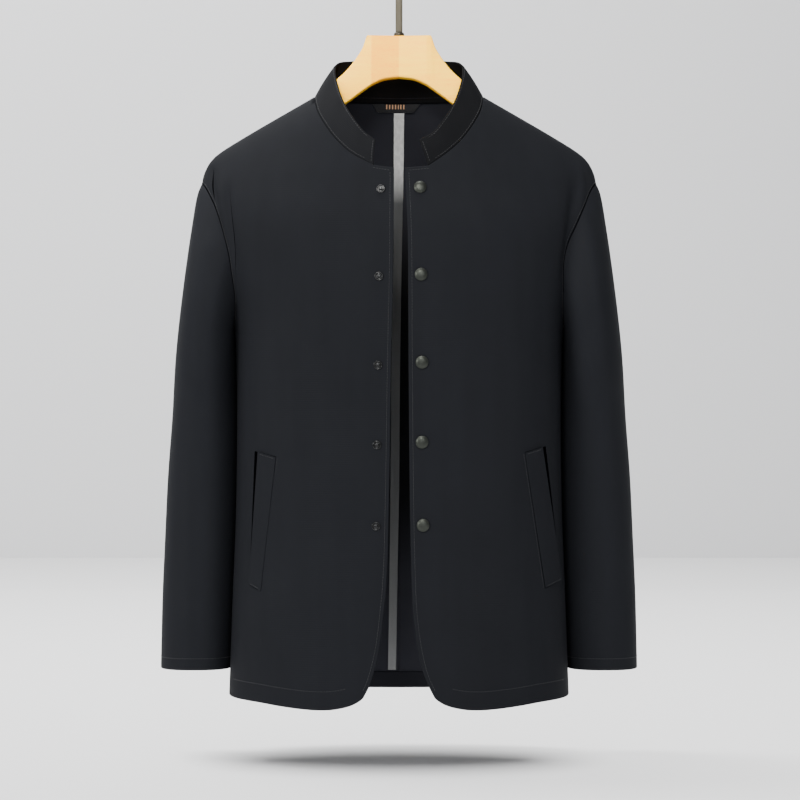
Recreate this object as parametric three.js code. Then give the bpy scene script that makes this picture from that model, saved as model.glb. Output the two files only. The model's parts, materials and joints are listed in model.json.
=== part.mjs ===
import * as THREE from 'three';

// Frame: millimetres, +Z up, the front faces -Y, +X is the wearer's left.
// The origin is the inside top of the hook, where a rail holds it.
// Heights in the tables below are above the level of the hem.
const HOOK_TO_HEM = 888.6;
const DEG = Math.PI / 180;

// Cloth and the clear space between pieces
const CLOTH = 1.4;
const SEAM_GAP = 0.3;
const LAID_ON_GAP = 0.35;
const ARMHOLE_GAP = 0.8;
const COLLAR_GAP = 0.6;
const WELT_GAP = 0.9;
const INSIDE_GAP = 0.5;
const LABEL_GAP = 0.3;

// Distance below its ridge over which the shoulder rounds over to the front and the back
const SHOULDER_ROLL = 170;

const COLOURS = {
  cloth: 0x24262a,
  sleeve: 0x2a2d31,
  collar: 0x282b2e,
  band: 0x1c1e22,
  tape: 0x8a8d8b,
  label: 0x15161a,
  snap: 0x4a4d4e,
  stud: 0x8d8f90,
  wood: 0xe8c592,
  steel: 0x98938a,
  ferrule: 0xb0aca2,
};

// Cross-section of the body at a height: half width at the side seam, depth in front of and behind the side
// seam, and how square the section is (2 is an ellipse).
const BODY_SECTIONS = [
  { h: -12, half: 203.8, front: 119, back: 114, square: 2.7 },
  { h: 120, half: 199, front: 117, back: 111, square: 2.72 },
  { h: 240, half: 194.6, front: 115.5, back: 107.5, square: 2.75 },
  { h: 330, half: 193.6, front: 114.5, back: 106, square: 2.78 },
  { h: 415, half: 195, front: 114.5, back: 106.5, square: 2.8 },
  { h: 460, half: 199, front: 114, back: 106.5, square: 2.8 },
  { h: 510, half: 212, front: 111, back: 105, square: 2.8 },
  { h: 560, half: 226, front: 105, back: 101, square: 2.8 },
  { h: 617, half: 240, front: 90, back: 92, square: 2.75 },
  { h: 660, half: 242, front: 82, back: 78, square: 2.7 },
  { h: 700, half: 242, front: 78, back: 61, square: 2.6 },
  { h: 718, half: 242, front: 76, back: 51.8, square: 2.5 },
  { h: 740, half: 242, front: 76, back: 46, square: 2.5 },
];

// The shoulder seam runs along the ridge of the shoulder, from the neck point to the shoulder end.
const NECK_POINT = { x: 101.7, h: 720.6 };
const SHOULDER_END = { x: 236.2, h: 617.5 };
const RIDGE = [
  { x: 0, h: 780.3 },
  { x: 101.7, h: 720.6 },
  { x: 205, h: 660 },
  { x: 214, h: 654 },
  { x: 221, h: 648.4 },
  { x: 227.4, h: 641 },
  { x: 231.6, h: 633.5 },
  { x: 234.6, h: 625.5 },
  { x: 236.2, h: 617.5 },
  { x: 237.2, h: 600 },
];

// Armhole seams, from the underarm up to the shoulder end
const UNDERARM_HEIGHT = 440;
const FRONT_ARMHOLE = [
  { x: 194, h: 458 },
  { x: 193.5, h: 481 },
  { x: 196, h: 509 },
  { x: 200, h: 533 },
  { x: 207, h: 557 },
  { x: 215.8, h: 581 },
  { x: 228, h: 606 },
];
const BACK_ARMHOLE = [
  { x: 196, h: 456 },
  { x: 197.5, h: 481 },
  { x: 201.5, h: 509 },
  { x: 207, h: 535 },
  { x: 213.5, h: 560 },
  { x: 220.5, h: 583 },
  { x: 229.8, h: 606 },
];

// The neckline, from the neck point down to the end of the collar, and the top of the front extension
const FRONT_NECKLINE = [
  { x: 97.3, h: 700.4 },
  { x: 86.6, h: 680.5 },
  { x: 72.2, h: 661.2 },
  { x: 55, h: 645.6 },
];
const COLLAR_ENDS = { left: { x: 34.5, h: 631 }, right: { x: 30.1, h: 632 } };
const EXTENSION_HEIGHT = 628.5;
const BACK_NECK_HEIGHT = 720.2;

// Front edges, each as it hangs: distance of the edge from the middle at a height
const STUD_EDGE = [
  { h: 12, x: 41.5 },
  { h: 25.2, x: 34.7 },
  { h: 45, x: 28.3 },
  { h: 68, x: 23.1 },
  { h: 91, x: 19.7 },
  { h: 114, x: 17.3 },
  { h: 137, x: 15 },
  { h: 183, x: 12.7 },
  { h: 276, x: 10.8 },
  { h: 415, x: 8.7 },
  { h: 531, x: 6.4 },
  { h: 628.5, x: 5.9 },
];
const CAP_EDGE = [
  { h: 12, x: 41.5 },
  { h: 25.2, x: 34.7 },
  { h: 45, x: 27.2 },
  { h: 68, x: 22 },
  { h: 91, x: 18.5 },
  { h: 114, x: 16.2 },
  { h: 137, x: 15 },
  { h: 230, x: 12.7 },
  { h: 415, x: 11 },
  { h: 531, x: 10.5 },
  { h: 602, x: 8.2 },
  { h: 628.5, x: 6.9 },
];

// The hem drops a little in front and rises in the rounded front corner and at the side.
const FRONT_HEM = [
  { x: 41.5, h: 12 },
  { x: 46.2, h: 8.2 },
  { x: 54.3, h: 3.8 },
  { x: 61, h: 1.5 },
  { x: 68.2, h: -0.2 },
  { x: 82, h: -2.2 },
  { x: 96, h: -2.5 },
  { x: 110, h: -1.8 },
  { x: 138, h: 0.9 },
  { x: 167, h: 4.3 },
  { x: 204, h: 6.4 },
];
const BACK_HEM = [
  { x: 0, h: 0 },
  { x: 110, h: 0.8 },
  { x: 165, h: 4.5 },
  { x: 204, h: 6.6 },
];

// Rows up the side seam, then along the armhole; columns across the extension, the neck and the shoulder
const SIDE_ROWS = [0, 0.018, 0.045, 0.085, 0.13, 0.2, 0.27, 0.34, 0.42, 0.5, 0.57, 0.64, 0.71];
const ARMHOLE_ROWS = [0.09, 0.18, 0.28, 0.39, 0.5, 0.61, 0.71, 0.8, 0.87, 0.93, 0.97, 1];
const ROW_SAG = 0.45;
// How soon the shape of the hem, and of the neck and shoulder, leaves the rows
const HEM_FADE = 3;
const NECK_FADE = 8;
const EXTENSION_COLUMNS = 2;
const NECK_COLUMNS = 7;
const SHOULDER_COLUMNS = [0.21, 0.43, 0.63, 0.77, 0.86, 0.93, 1];
const BACK_NECK_COLUMNS = [0, 0.19, 0.37, 0.55, 0.72, 0.86, 0.95, 1];
const BACK_COLLAR_COLUMNS = [0, 0.11, 0.21, 0.35, 0.51, 0.67, 0.83, 1];
const LINE_DIVISIONS = 600;
const CORE_DROP = 40;

// Sleeves: outer edge as seen from the front, depth from front to back, and how far behind the side seam the
// middle of the sleeve hangs, so that the side of the body covers its inner fold
const SLEEVE = [
  { h: 34, outer: 287.2, depth: 96, behind: 22 },
  { h: 45, outer: 287, depth: 97, behind: 22 },
  { h: 117, outer: 285.5, depth: 103, behind: 24 },
  { h: 189, outer: 282.4, depth: 110, behind: 25 },
  { h: 261, outer: 279, depth: 118, behind: 25 },
  { h: 333, outer: 273.4, depth: 131, behind: 23 },
  { h: 405, outer: 268, depth: 148, behind: 10 },
  { h: 477, outer: 259.8, depth: 152, behind: 0 },
  { h: 531, outer: 253.2, depth: 140, behind: 0 },
  { h: 567, outer: 248.2, depth: 120, behind: 0 },
  { h: 603, outer: 242.2, depth: 96, behind: 0 },
  { h: 617.5, outer: 236.4, depth: 84, behind: 0 },
];
const SLEEVE_CLEAR_OF_BODY = 2.2;
const SLEEVE_CAP_LOW = 385;
const CAP_ROWS = [0.05, 0.14, 0.26, 0.4, 0.56, 0.76, 1];
const CUFF_HEIGHT = 35;
const SLEEVE_ROWS = 9;
// How the armhole's points spread round the tube, and how soon the armhole's shape leaves the sleeve
const SLEEVE_EASE = 0.06;
const ARMHOLE_FADE = 2.2;
const SLEEVE_CORE_TOP = 560;
// Where the upper sleeve meets the under sleeve, counted in armhole points from the shoulder end
const FRONT_SLEEVE_SEAM = 10;
const BACK_SLEEVE_SEAM = 7;

// Stand collar: top edge seen from the front, half of it from the front end to the centre back
const COLLAR_THICKNESS = 2.4;
const COLLAR_ROWS = 3;
const COLLAR_BULGE = 1.2;
const NECK_CENTRE_FORWARD = 10;
const COLLAR_TOP_ENDS = {
  left: { x: 23.5, y: -73, h: 662.5 },
  right: { x: 27.5, y: -73, h: 662.5 },
};
const COLLAR_TOP = [
  { x: 40, y: -68, h: 672.5 },
  { x: 49, y: -62.5, h: 683.3 },
  { x: 57, y: -55, h: 695 },
  { x: 64.3, y: -45, h: 708 },
  { x: 70, y: -34, h: 722 },
  { x: 74, y: -20, h: 736 },
  { x: 76.6, y: -6, h: 750 },
  { x: 76.8, y: 5, h: 759.5 },
  { x: 72, y: 15.5, h: 764.3 },
  { x: 58, y: 25, h: 766.5 },
  { x: 36, y: 32, h: 767.5 },
  { x: 0, y: 35.5, h: 768 },
];
const COLLAR_SIDE_AT = 8;

// Snaps, heights above the hem and distance from the middle
const SNAP_CAPS = [
  { x: 24.6, h: 605 },
  { x: 25.6, h: 502.5 },
  { x: 26.6, h: 400.7 },
  { x: 26.7, h: 308.2 },
  { x: 27.9, h: 212 },
];
const SNAP_STUDS = [
  { x: 21.1, h: 603 },
  { x: 23.3, h: 500.4 },
  { x: 24.4, h: 397.3 },
  { x: 25.5, h: 304.8 },
  { x: 26.7, h: 211 },
];
const CAP_RADIUS = 7.5;
const STUD_RADIUS = 5.2;

// Pocket welts, corners on the front: top inner, top outer, bottom inner, bottom outer
const CAP_SIDE_WELT = {
  topInner: { x: 146.8, h: 295.5 },
  topOuter: { x: 167, h: 302 },
  bottomInner: { x: 171, h: 137 },
  bottomOuter: { x: 191, h: 144.5 },
};
const STUD_SIDE_WELT = {
  topInner: { x: 143.2, h: 290.5 },
  topOuter: { x: 164, h: 296.5 },
  bottomInner: { x: 161, h: 133.5 },
  bottomOuter: { x: 174.6, h: 141 },
};
const WELT_THICKNESS = 1.6;
const WELT_ROWS = 9;
const WELT_COLUMNS = 2;

// Inside the back
const LABEL = {
  topInner: { x: -33.5, h: 719 },
  topOuter: { x: 27.6, h: 719 },
  bottomInner: { x: -26.7, h: 707.8 },
  bottomOuter: { x: 18.2, h: 707.8 },
};
const LABEL_THICKNESS = 0.9;
const TAPE_THICKNESS = 0.7;
const TAPE = [
  { h: 22.1, left: -13.7, right: -3.7 },
  { h: 120, left: -12.2, right: -2.2 },
  { h: 260, left: -10.6, right: 0.3 },
  { h: 400, left: -9.4, right: 1.4 },
  { h: 540, left: -8, right: 3.6 },
  { h: 640, left: -6.7, right: 5.7 },
  { h: 707, left: -6.5, right: 6.6 },
];
const TAPE_ROWS = 14;
const TURN_UP_FOOT = 0.6;
const TURN_UP_HEIGHT = 20;
const TURN_UP_THICKNESS = 0.9;

// Hanger: outline of one half seen from the front
const WOOD_TOP_HEIGHT = 793;
const HANGER = [
  { x: 0, top: 793, bottom: 743.4, thick: 22, forward: 0 },
  { x: 16, top: 793, bottom: 741.3, thick: 22, forward: 2 },
  { x: 32.5, top: 793, bottom: 734.4, thick: 22, forward: 4 },
  { x: 37.6, top: 793, bottom: 731, thick: 21, forward: 4 },
  { x: 43.2, top: 778.8, bottom: 727, thick: 20, forward: 4 },
  { x: 50, top: 767.5, bottom: 722, thick: 19, forward: 4.2 },
  { x: 58.6, top: 756, bottom: 715.5, thick: 18, forward: 4.5 },
  { x: 66, top: 748, bottom: 710, thick: 17, forward: 4.8 },
  { x: 75.8, top: 738.9, bottom: 703.4, thick: 16, forward: 5 },
  { x: 86, top: 724, bottom: 694.5, thick: 14, forward: 3 },
  { x: 101, top: 712.4, bottom: 685, thick: 13, forward: 3 },
  { x: 130, top: 699.45, bottom: 670.15, thick: 13, forward: 3 },
  { x: 165, top: 678.75, bottom: 649.15, thick: 13, forward: 3 },
  { x: 196, top: 660.35, bottom: 631.15, thick: 13, forward: 3 },
  { x: 205, top: 653.65, bottom: 627.15, thick: 12, forward: 3 },
  { x: 210, top: 647.15, bottom: 628.15, thick: 10, forward: 3 },
  { x: 213, top: 640.65, bottom: 632.15, thick: 8, forward: 3 },
];
const WOOD_CHAMFER = 3;

// Hook: a flat strip, straight from the wood, then bent back and round over the rail
const STRIP_WIDTH = 8.4;
const STRIP_THICKNESS = 3;
const HOOK_ARC = 21;
const HOOK_FIRST_BEND = 12;
const HOOK_SWEEP = 268;
const FERRULE = { outer: 6.3, inner: 4.9, height: 4.2 };

/** A smooth curve through two columns of a table, without overshoot. */
function smoothColumn(rows, inKey, outKey) {
  const xs = rows.map((row) => row[inKey]);
  const ys = rows.map((row) => row[outKey]);
  const last = xs.length - 1;
  const steps = xs.slice(1).map((x, i) => (ys[i + 1] - ys[i]) / (x - xs[i]));
  const slopes = xs.map((_, i) => {
    if (i === 0) return steps[0];
    if (i === last) return steps[last - 1];
    const before = steps[i - 1];
    const after = steps[i];
    return before * after <= 0 ? 0 : (2 * before * after) / (before + after);
  });
  return (x) => {
    if (x <= xs[0]) return ys[0];
    if (x >= xs[last]) return ys[last];
    const i = xs.findIndex((edge) => edge > x) - 1;
    const width = xs[i + 1] - xs[i];
    const t = (x - xs[i]) / width;
    const t2 = t * t;
    const t3 = t2 * t;
    return (
      ys[i] * (2 * t3 - 3 * t2 + 1) +
      slopes[i] * width * (t3 - 2 * t2 + t) +
      ys[i + 1] * (3 * t2 - 2 * t3) +
      slopes[i + 1] * width * (t3 - t2)
    );
  };
}

const halfWidth = smoothColumn(BODY_SECTIONS, 'h', 'half');
const squareness = smoothColumn(BODY_SECTIONS, 'h', 'square');
const ridgeHeight = smoothColumn(RIDGE, 'x', 'h');
const FACES = {
  front: { sign: -1, depth: smoothColumn(BODY_SECTIONS, 'h', 'front') },
  back: { sign: 1, depth: smoothColumn(BODY_SECTIONS, 'h', 'back') },
};

/** How far the shoulder has rounded over at a point: 0 on the ridge, 1 on the straight front or back. */
function shoulderRoll(x, h) {
  const below = Math.min(Math.max(ridgeHeight(x) - h, 0), SHOULDER_ROLL);
  return Math.sqrt(1 - (1 - below / SHOULDER_ROLL) ** 2);
}

/** Distance from the side-seam plane, before the shoulder rounds over. */
function flatDepth(face, x, h) {
  const n = squareness(h);
  const across = Math.min(Math.abs(x) / halfWidth(h), 1);
  return FACES[face].depth(h) * (1 - across ** n) ** (1 / n);
}

/** Distance of the outer face from the middle line of the body, at an angle from straight ahead. */
function reach(face, angle, h) {
  const n = squareness(h);
  const wide = Math.sin(angle) / halfWidth(h);
  const deep = Math.max(Math.cos(angle), 0) / FACES[face].depth(h);
  return (wide ** n + deep ** n) ** (-1 / n);
}

/** A point of the body's outer face on the +X side, from its angle and its height above the hem. */
function bodyPoint(face, angle, h) {
  const r = reach(face, angle, h);
  const x = r * Math.sin(angle);
  const y = FACES[face].sign * r * Math.max(Math.cos(angle), 0) * shoulderRoll(x, h);
  return new THREE.Vector3(x, y, h - HOOK_TO_HEM);
}

/** The outer face where it is seen at (x, h), x of either sign. */
function bodyAt(face, x, h) {
  const y = FACES[face].sign * flatDepth(face, x, h) * shoulderRoll(Math.abs(x), h);
  return new THREE.Vector3(x, y, h - HOOK_TO_HEM);
}

/** The way the outer face looks at (x, h). */
function bodyNormal(face, x, h) {
  const step = 2;
  const along = bodyAt(face, x + step, h).sub(bodyAt(face, x - step, h));
  const up = bodyAt(face, x, h + step).sub(bodyAt(face, x, h - step));
  const normal = along.cross(up).normalize();
  return normal.y * FACES[face].sign < 0 ? normal.negate() : normal;
}

/** The angle of the outer face at (x, h). */
function angleAt(face, x, h) {
  return Math.atan2(x, flatDepth(face, x, h));
}

/** A smooth line through points, finely measured along its length. */
function smoothLine(points) {
  const line = new THREE.CatmullRomCurve3(points, false, 'centripetal');
  line.arcLengthDivisions = LINE_DIVISIONS;
  return line;
}

/** Points along a smooth line in the (x, h) plane, at fractions of its length. */
function alongLine(points, fractions) {
  const line = smoothLine(points.map(({ x, h }) => new THREE.Vector3(x, h, 0)));
  return fractions.map((fraction) => {
    const point = line.getPointAt(fraction);
    return { x: point.x, h: point.y };
  });
}

/** Points of the shoulder seam past the neck point, on the ridge. */
function shoulderSeam() {
  const ridge = RIDGE.filter(({ x }) => x >= NECK_POINT.x && x <= SHOULDER_END.x);
  return alongLine(ridge, SHOULDER_COLUMNS).map(({ x }) => ({ x, h: ridgeHeight(x) }));
}

const sideTop = SIDE_ROWS[SIDE_ROWS.length - 1];
const rowFractions = () => [...SIDE_ROWS, ...ARMHOLE_ROWS.map((t) => mix(sideTop, 1, t))];
const sagged = (t) => t - ROW_SAG * t * (1 - t);
const evenly = (count) => Array.from({ length: count + 1 }, (_, i) => i / count);
const mix = (a, b, t) => a + (b - a) * t;

/** Closed wall between two offsets along the normals of a grid of points. */
function wall(grid, normals, from, to) {
  const rows = grid.length;
  const columns = grid[0].length;
  const positions = [];
  const faces = [];
  const layer = (offset) =>
    grid.forEach((row, i) => row.forEach((point, j) => {
      positions.push(...point.clone().addScaledVector(normals[i][j], offset).toArray());
    }));
  layer(to);
  layer(from);
  const outer = (i, j) => i * columns + j;
  const inner = (i, j) => rows * columns + outer(i, j);
  const apart = (a, b) =>
    Math.hypot(...[0, 1, 2].map((axis) => positions[a * 3 + axis] - positions[b * 3 + axis]));
  const quad = (a, b, c, d) => {
    if (apart(a, c) < apart(b, d) + 1e-6) faces.push(a, b, c, a, c, d);
    else faces.push(a, b, d, b, c, d);
  };
  for (let i = 0; i < rows - 1; i += 1) {
    for (let j = 0; j < columns - 1; j += 1) {
      quad(outer(i, j), outer(i, j + 1), outer(i + 1, j + 1), outer(i + 1, j));
      quad(inner(i, j), inner(i + 1, j), inner(i + 1, j + 1), inner(i, j + 1));
    }
  }
  for (let j = 0; j < columns - 1; j += 1) {
    quad(outer(0, j), inner(0, j), inner(0, j + 1), outer(0, j + 1));
    quad(outer(rows - 1, j), outer(rows - 1, j + 1), inner(rows - 1, j + 1), inner(rows - 1, j));
  }
  for (let i = 0; i < rows - 1; i += 1) {
    quad(outer(i, 0), outer(i + 1, 0), inner(i + 1, 0), inner(i, 0));
    quad(outer(i, columns - 1), inner(i, columns - 1), inner(i + 1, columns - 1), outer(i + 1, columns - 1));
  }
  return closed(positions, faces);
}

/** Geometry from points and faces, turned so that the faces look outwards. */
function closed(positions, faces) {
  let volume = 0;
  const at = (i) => new THREE.Vector3().fromArray(positions, i * 3);
  for (let k = 0; k < faces.length; k += 3) {
    volume += at(faces[k]).dot(at(faces[k + 1]).cross(at(faces[k + 2])));
  }
  const index = volume > 0 ? faces : faces.slice().reverse();
  const geometry = new THREE.BufferGeometry();
  geometry.setAttribute('position', new THREE.Float32BufferAttribute(positions, 3));
  geometry.setIndex(index);
  geometry.computeVertexNormals();
  return geometry;
}

/** Normals of a grid of points, on the side away from its core. */
function gridNormals(grid, core) {
  const rows = grid.length;
  const columns = grid[0].length;
  const normals = grid.map((row, i) =>
    row.map((_, j) => {
      const across = grid[i][Math.min(j + 1, columns - 1)].clone().sub(grid[i][Math.max(j - 1, 0)]);
      const up = grid[Math.min(i + 1, rows - 1)][j].clone().sub(grid[Math.max(i - 1, 0)][j]);
      return across.cross(up).normalize();
    }),
  );
  let outward = 0;
  grid.forEach((row, i) => row.forEach((point, j) => {
    outward += Math.sign(normals[i][j].dot(point.clone().sub(core(point))));
  }));
  if (outward < 0) normals.forEach((row) => row.forEach((normal) => normal.negate()));
  return normals;
}

/** Takes one component out of the normals along an edge that meets its mirror image. */
function squareOff(normals, axis) {
  normals.forEach((normal) => {
    normal[axis] = 0;
    normal.normalize();
  });
}

const parts = new THREE.Group();

/** Adds one closed body under its name. */
function add(name, geometry, colour, { metal = 0, rough = 0.85 } = {}) {
  const material = new THREE.MeshStandardMaterial({ color: colour, metalness: metal, roughness: rough });
  const mesh = new THREE.Mesh(geometry, material);
  mesh.name = name;
  parts.add(mesh);
}

const SIDES = [
  { side: 'left', sign: 1, edge: CAP_EDGE },
  { side: 'right', sign: -1, edge: STUD_EDGE },
];

/** Outer border of a panel: side seam up to the underarm, then the armhole up to the shoulder end. */
function outerBorder(face, hemHeight) {
  const side = SIDE_ROWS.map((t) => {
    const h = mix(hemHeight, UNDERARM_HEIGHT, t / sideTop);
    return { angle: 90 * DEG, h };
  });
  const underarm = { x: halfWidth(UNDERARM_HEIGHT), h: UNDERARM_HEIGHT };
  const between = face === 'front' ? FRONT_ARMHOLE : BACK_ARMHOLE;
  const line = armholeLine(face, [underarm, ...between, SHOULDER_END]);
  return [...side, ...line];
}

/** Armhole points at their fractions of the seam's true length. */
function armholeLine(face, points) {
  const line = smoothLine(points.map(({ x, h }) => bodyAt(face, x, h)));
  return ARMHOLE_ROWS.map((fraction) => {
    const point = line.getPointAt(fraction);
    const h = point.z + HOOK_TO_HEM;
    return { angle: angleAt(face, Math.min(point.x, halfWidth(h)), h), h };
  });
}

/** Fills a panel between its four borders; each border is a list of (angle, h). */
function fillPanel(face, sign, { left, right, bottom, top }) {
  const rowAt = rowFractions();
  const first = top[0].angle;
  const columnAt = top.map(({ angle }) => (angle - first) / (top[top.length - 1].angle - first));
  const rows = rowAt.length;
  const columns = columnAt.length;
  const blend = (key, i, j) => {
    const s = columnAt[j];
    const t = rowAt[i];
    const across = mix(left[i][key], right[i][key], s);
    const offBottom = bottom[j][key] - mix(bottom[0][key], bottom[columns - 1][key], s);
    const offTop = top[j][key] - mix(top[0][key], top[columns - 1][key], s);
    return across + offBottom * (1 - t) ** HEM_FADE + offTop * t ** NECK_FADE;
  };
  return Array.from({ length: rows }, (_, i) =>
    Array.from({ length: columns }, (__, j) => {
      const point = bodyPoint(face, blend('angle', i, j), blend('h', i, j));
      point.x *= sign;
      return point;
    }),
  );
}

const onFace = (face, points) => points.map(({ x, h }) => ({ angle: angleAt(face, x, h), h }));

/** Borders of a front: edge, hem with its rounded corner, neck and shoulder, side and armhole. */
function frontBorders(edge, collarEnd) {
  const edgeX = smoothColumn(edge, 'h', 'x');
  const hemHeight = smoothColumn(FRONT_HEM, 'x', 'h');
  const bottomH = edge[0].h;
  const left = onFace('front', rowFractions().map((t) => {
    const h = mix(bottomH, EXTENSION_HEIGHT, sagged(t));
    return { x: edgeX(h), h };
  }));
  const neckline = [collarEnd, ...FRONT_NECKLINE.slice().reverse(), NECK_POINT];
  const edgeTop = { x: edgeX(EXTENSION_HEIGHT), h: EXTENSION_HEIGHT };
  const top = onFace('front', [
    ...evenly(EXTENSION_COLUMNS).map((t) => ({
      x: mix(edgeTop.x, collarEnd.x, t),
      h: mix(edgeTop.h, collarEnd.h, t),
    })),
    ...alongLine(neckline, evenly(NECK_COLUMNS).slice(1)),
    ...shoulderSeam(),
  ]);
  const first = top[0].angle;
  const span = top[top.length - 1].angle - first;
  const corner = angleAt('front', edge[0].x, edge[0].h);
  const bottom = top.map(({ angle }) => {
    const turned = mix(corner, 90 * DEG, (angle - first) / span);
    const x = reach('front', turned, 0) * Math.sin(turned);
    return { angle: turned, h: hemHeight(x) };
  });
  bottom[0].h = edge[0].h;
  const right = outerBorder('front', bottom[bottom.length - 1].h);
  return { left, right, bottom, top };
}

/** Borders of a back: the centre seam, the hem, the neck and shoulder, the side and armhole. */
function backBorders() {
  const hemHeight = smoothColumn(BACK_HEM, 'x', 'h');
  const left = rowFractions().map((t) => ({ angle: 0, h: mix(0, BACK_NECK_HEIGHT, sagged(t)) }));
  const neck = [
    { x: 0, h: BACK_NECK_HEIGHT },
    { x: 40, h: BACK_NECK_HEIGHT },
    { x: 80, h: BACK_NECK_HEIGHT + 0.2 },
    NECK_POINT,
  ];
  const top = onFace('back', [...alongLine(neck, BACK_NECK_COLUMNS), ...shoulderSeam()]);
  top[0].angle = 0;
  const span = top[top.length - 1].angle;
  const bottom = top.map(({ angle }) => {
    const turned = (90 * DEG * angle) / span;
    return { angle: turned, h: hemHeight(reach('back', turned, 0) * Math.sin(turned)) };
  });
  const right = outerBorder('back', bottom[bottom.length - 1].h);
  return { left, right, bottom, top };
}

/** Opens a seam: moves the points of an edge away from a plane by half the gap. */
function openSeam(points, axis, direction) {
  points.forEach((point) => (point[axis] += (direction * SEAM_GAP) / 2));
}

const bodyCore = (point) => new THREE.Vector3(0, 0, point.z - CORE_DROP);
const panels = { front: {}, back: {} };

for (const { side, sign, edge } of SIDES) {
  const sideRows = SIDE_ROWS.length;
  for (const face of ['front', 'back']) {
    const borders = face === 'front' ? frontBorders(edge, COLLAR_ENDS[side]) : backBorders();
    const grid = fillPanel(face, sign, borders);
    const normals = gridNormals(grid, bodyCore);
    const lastColumn = borders.top.length - 1;
    const neckColumns = face === 'front' ? EXTENSION_COLUMNS + NECK_COLUMNS : NECK_COLUMNS;
    squareOff(normals.slice(0, sideRows).map((row) => row[lastColumn]), 'y');
    squareOff(normals[normals.length - 1].slice(neckColumns), 'y');
    if (face === 'back') squareOff(normals.map((row) => row[0]), 'x');
    panels[face][side] = { grid: grid.map((row) => row.map((point) => point.clone())), normals, neckColumns };
    openSeam(grid.slice(0, sideRows).map((row) => row[lastColumn]), 'y', FACES[face].sign);
    openSeam(grid[grid.length - 1].slice(neckColumns), 'y', FACES[face].sign);
    if (face === 'back') openSeam(grid.map((row) => row[0]), 'x', sign);
    add(`${face}_${side}`, wall(grid, normals, -CLOTH, 0), COLOURS.cloth);
  }
}

// Sleeves
const sleeveOuter = smoothColumn(SLEEVE, 'h', 'outer');
const sleeveDepth = smoothColumn(SLEEVE, 'h', 'depth');
const sleeveBehind = smoothColumn(SLEEVE, 'h', 'behind');

/** Half width of the body behind the side seam, at a height and a distance back. */
function halfWidthBehind(h, back) {
  const n = squareness(h);
  return halfWidth(h) * (1 - (back / FACES.back.depth(h)) ** n) ** (1 / n);
}

/** Middle of the sleeve tube and its half sizes at a height. */
function sleeveTube(h) {
  const inner = halfWidthBehind(Math.min(h, UNDERARM_HEIGHT), sleeveBehind(h)) + SLEEVE_CLEAR_OF_BODY;
  const outer = sleeveOuter(h);
  return {
    x: (outer + inner) / 2,
    y: sleeveBehind(h),
    across: (outer - inner) / 2,
    deep: sleeveDepth(h) / 2,
  };
}

/** A point of the sleeve tube; angle 0 is the outer fold, 90 degrees the front. */
function tubePoint(angle, h) {
  const tube = sleeveTube(h);
  return new THREE.Vector3(
    tube.x + tube.across * Math.cos(angle),
    tube.y - tube.deep * Math.sin(angle),
    h - HOOK_TO_HEM,
  );
}

/** Start of the sleeve, clear of the body's cloth: from the shoulder end round the front to the underarm and
 * back up behind. */
function sleeveStart(side) {
  const rim = (face) => {
    const { grid, normals } = panels[face][side];
    const last = grid[0].length - 1;
    const first = SIDE_ROWS.length - 1;
    return grid.slice(first).map((row, k) => ({ point: row[last], normal: normals[first + k][last] }));
  };
  const loop = [...rim('front').reverse(), ...rim('back').slice(1, -1)];
  const count = loop.length;
  const centre = loop.reduce((sum, { point }) => sum.add(point), new THREE.Vector3()).divideScalar(count);
  return loop.map(({ point, normal }, i) => {
    const along = loop[(i + 1) % count].point.clone().sub(loop[(i + count - 1) % count].point);
    const off = along.cross(normal).normalize();
    const inward = Math.sign(off.dot(centre.clone().sub(point)));
    return point.clone().addScaledVector(off, inward * ARMHOLE_GAP);
  });
}

/** Rows of the whole sleeve, from the armhole to the cuff, each a closed ring of points. */
function sleeveRings(side, sign) {
  const loop = sleeveStart(side);
  const half = loop.length / 2;
  const angles = loop.map((_, i) => {
    const t = i <= half ? i / half : (loop.length - i) / half;
    const eased = t + SLEEVE_EASE * Math.sin(2 * Math.PI * t);
    return (i <= half ? 1 : -1) * eased * Math.PI;
  });
  const tubeAt = (angle, h) => {
    const point = tubePoint(angle, h);
    point.x *= sign;
    return point;
  };
  const rings = [loop];
  for (const t of CAP_ROWS) {
    rings.push(
      loop.map((start, i) => {
        const startH = start.z + HOOK_TO_HEM;
        const h = mix(startH, SLEEVE_CAP_LOW, t);
        const shift = start.clone().sub(tubeAt(angles[i], startH));
        return tubeAt(angles[i], h).addScaledVector(shift, (1 - t) ** ARMHOLE_FADE);
      }),
    );
  }
  for (let row = 1; row <= SLEEVE_ROWS; row += 1) {
    const h = mix(SLEEVE_CAP_LOW, CUFF_HEIGHT, row / SLEEVE_ROWS);
    rings.push(angles.map((angle) => tubeAt(angle, h)));
  }
  return rings;
}

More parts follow.
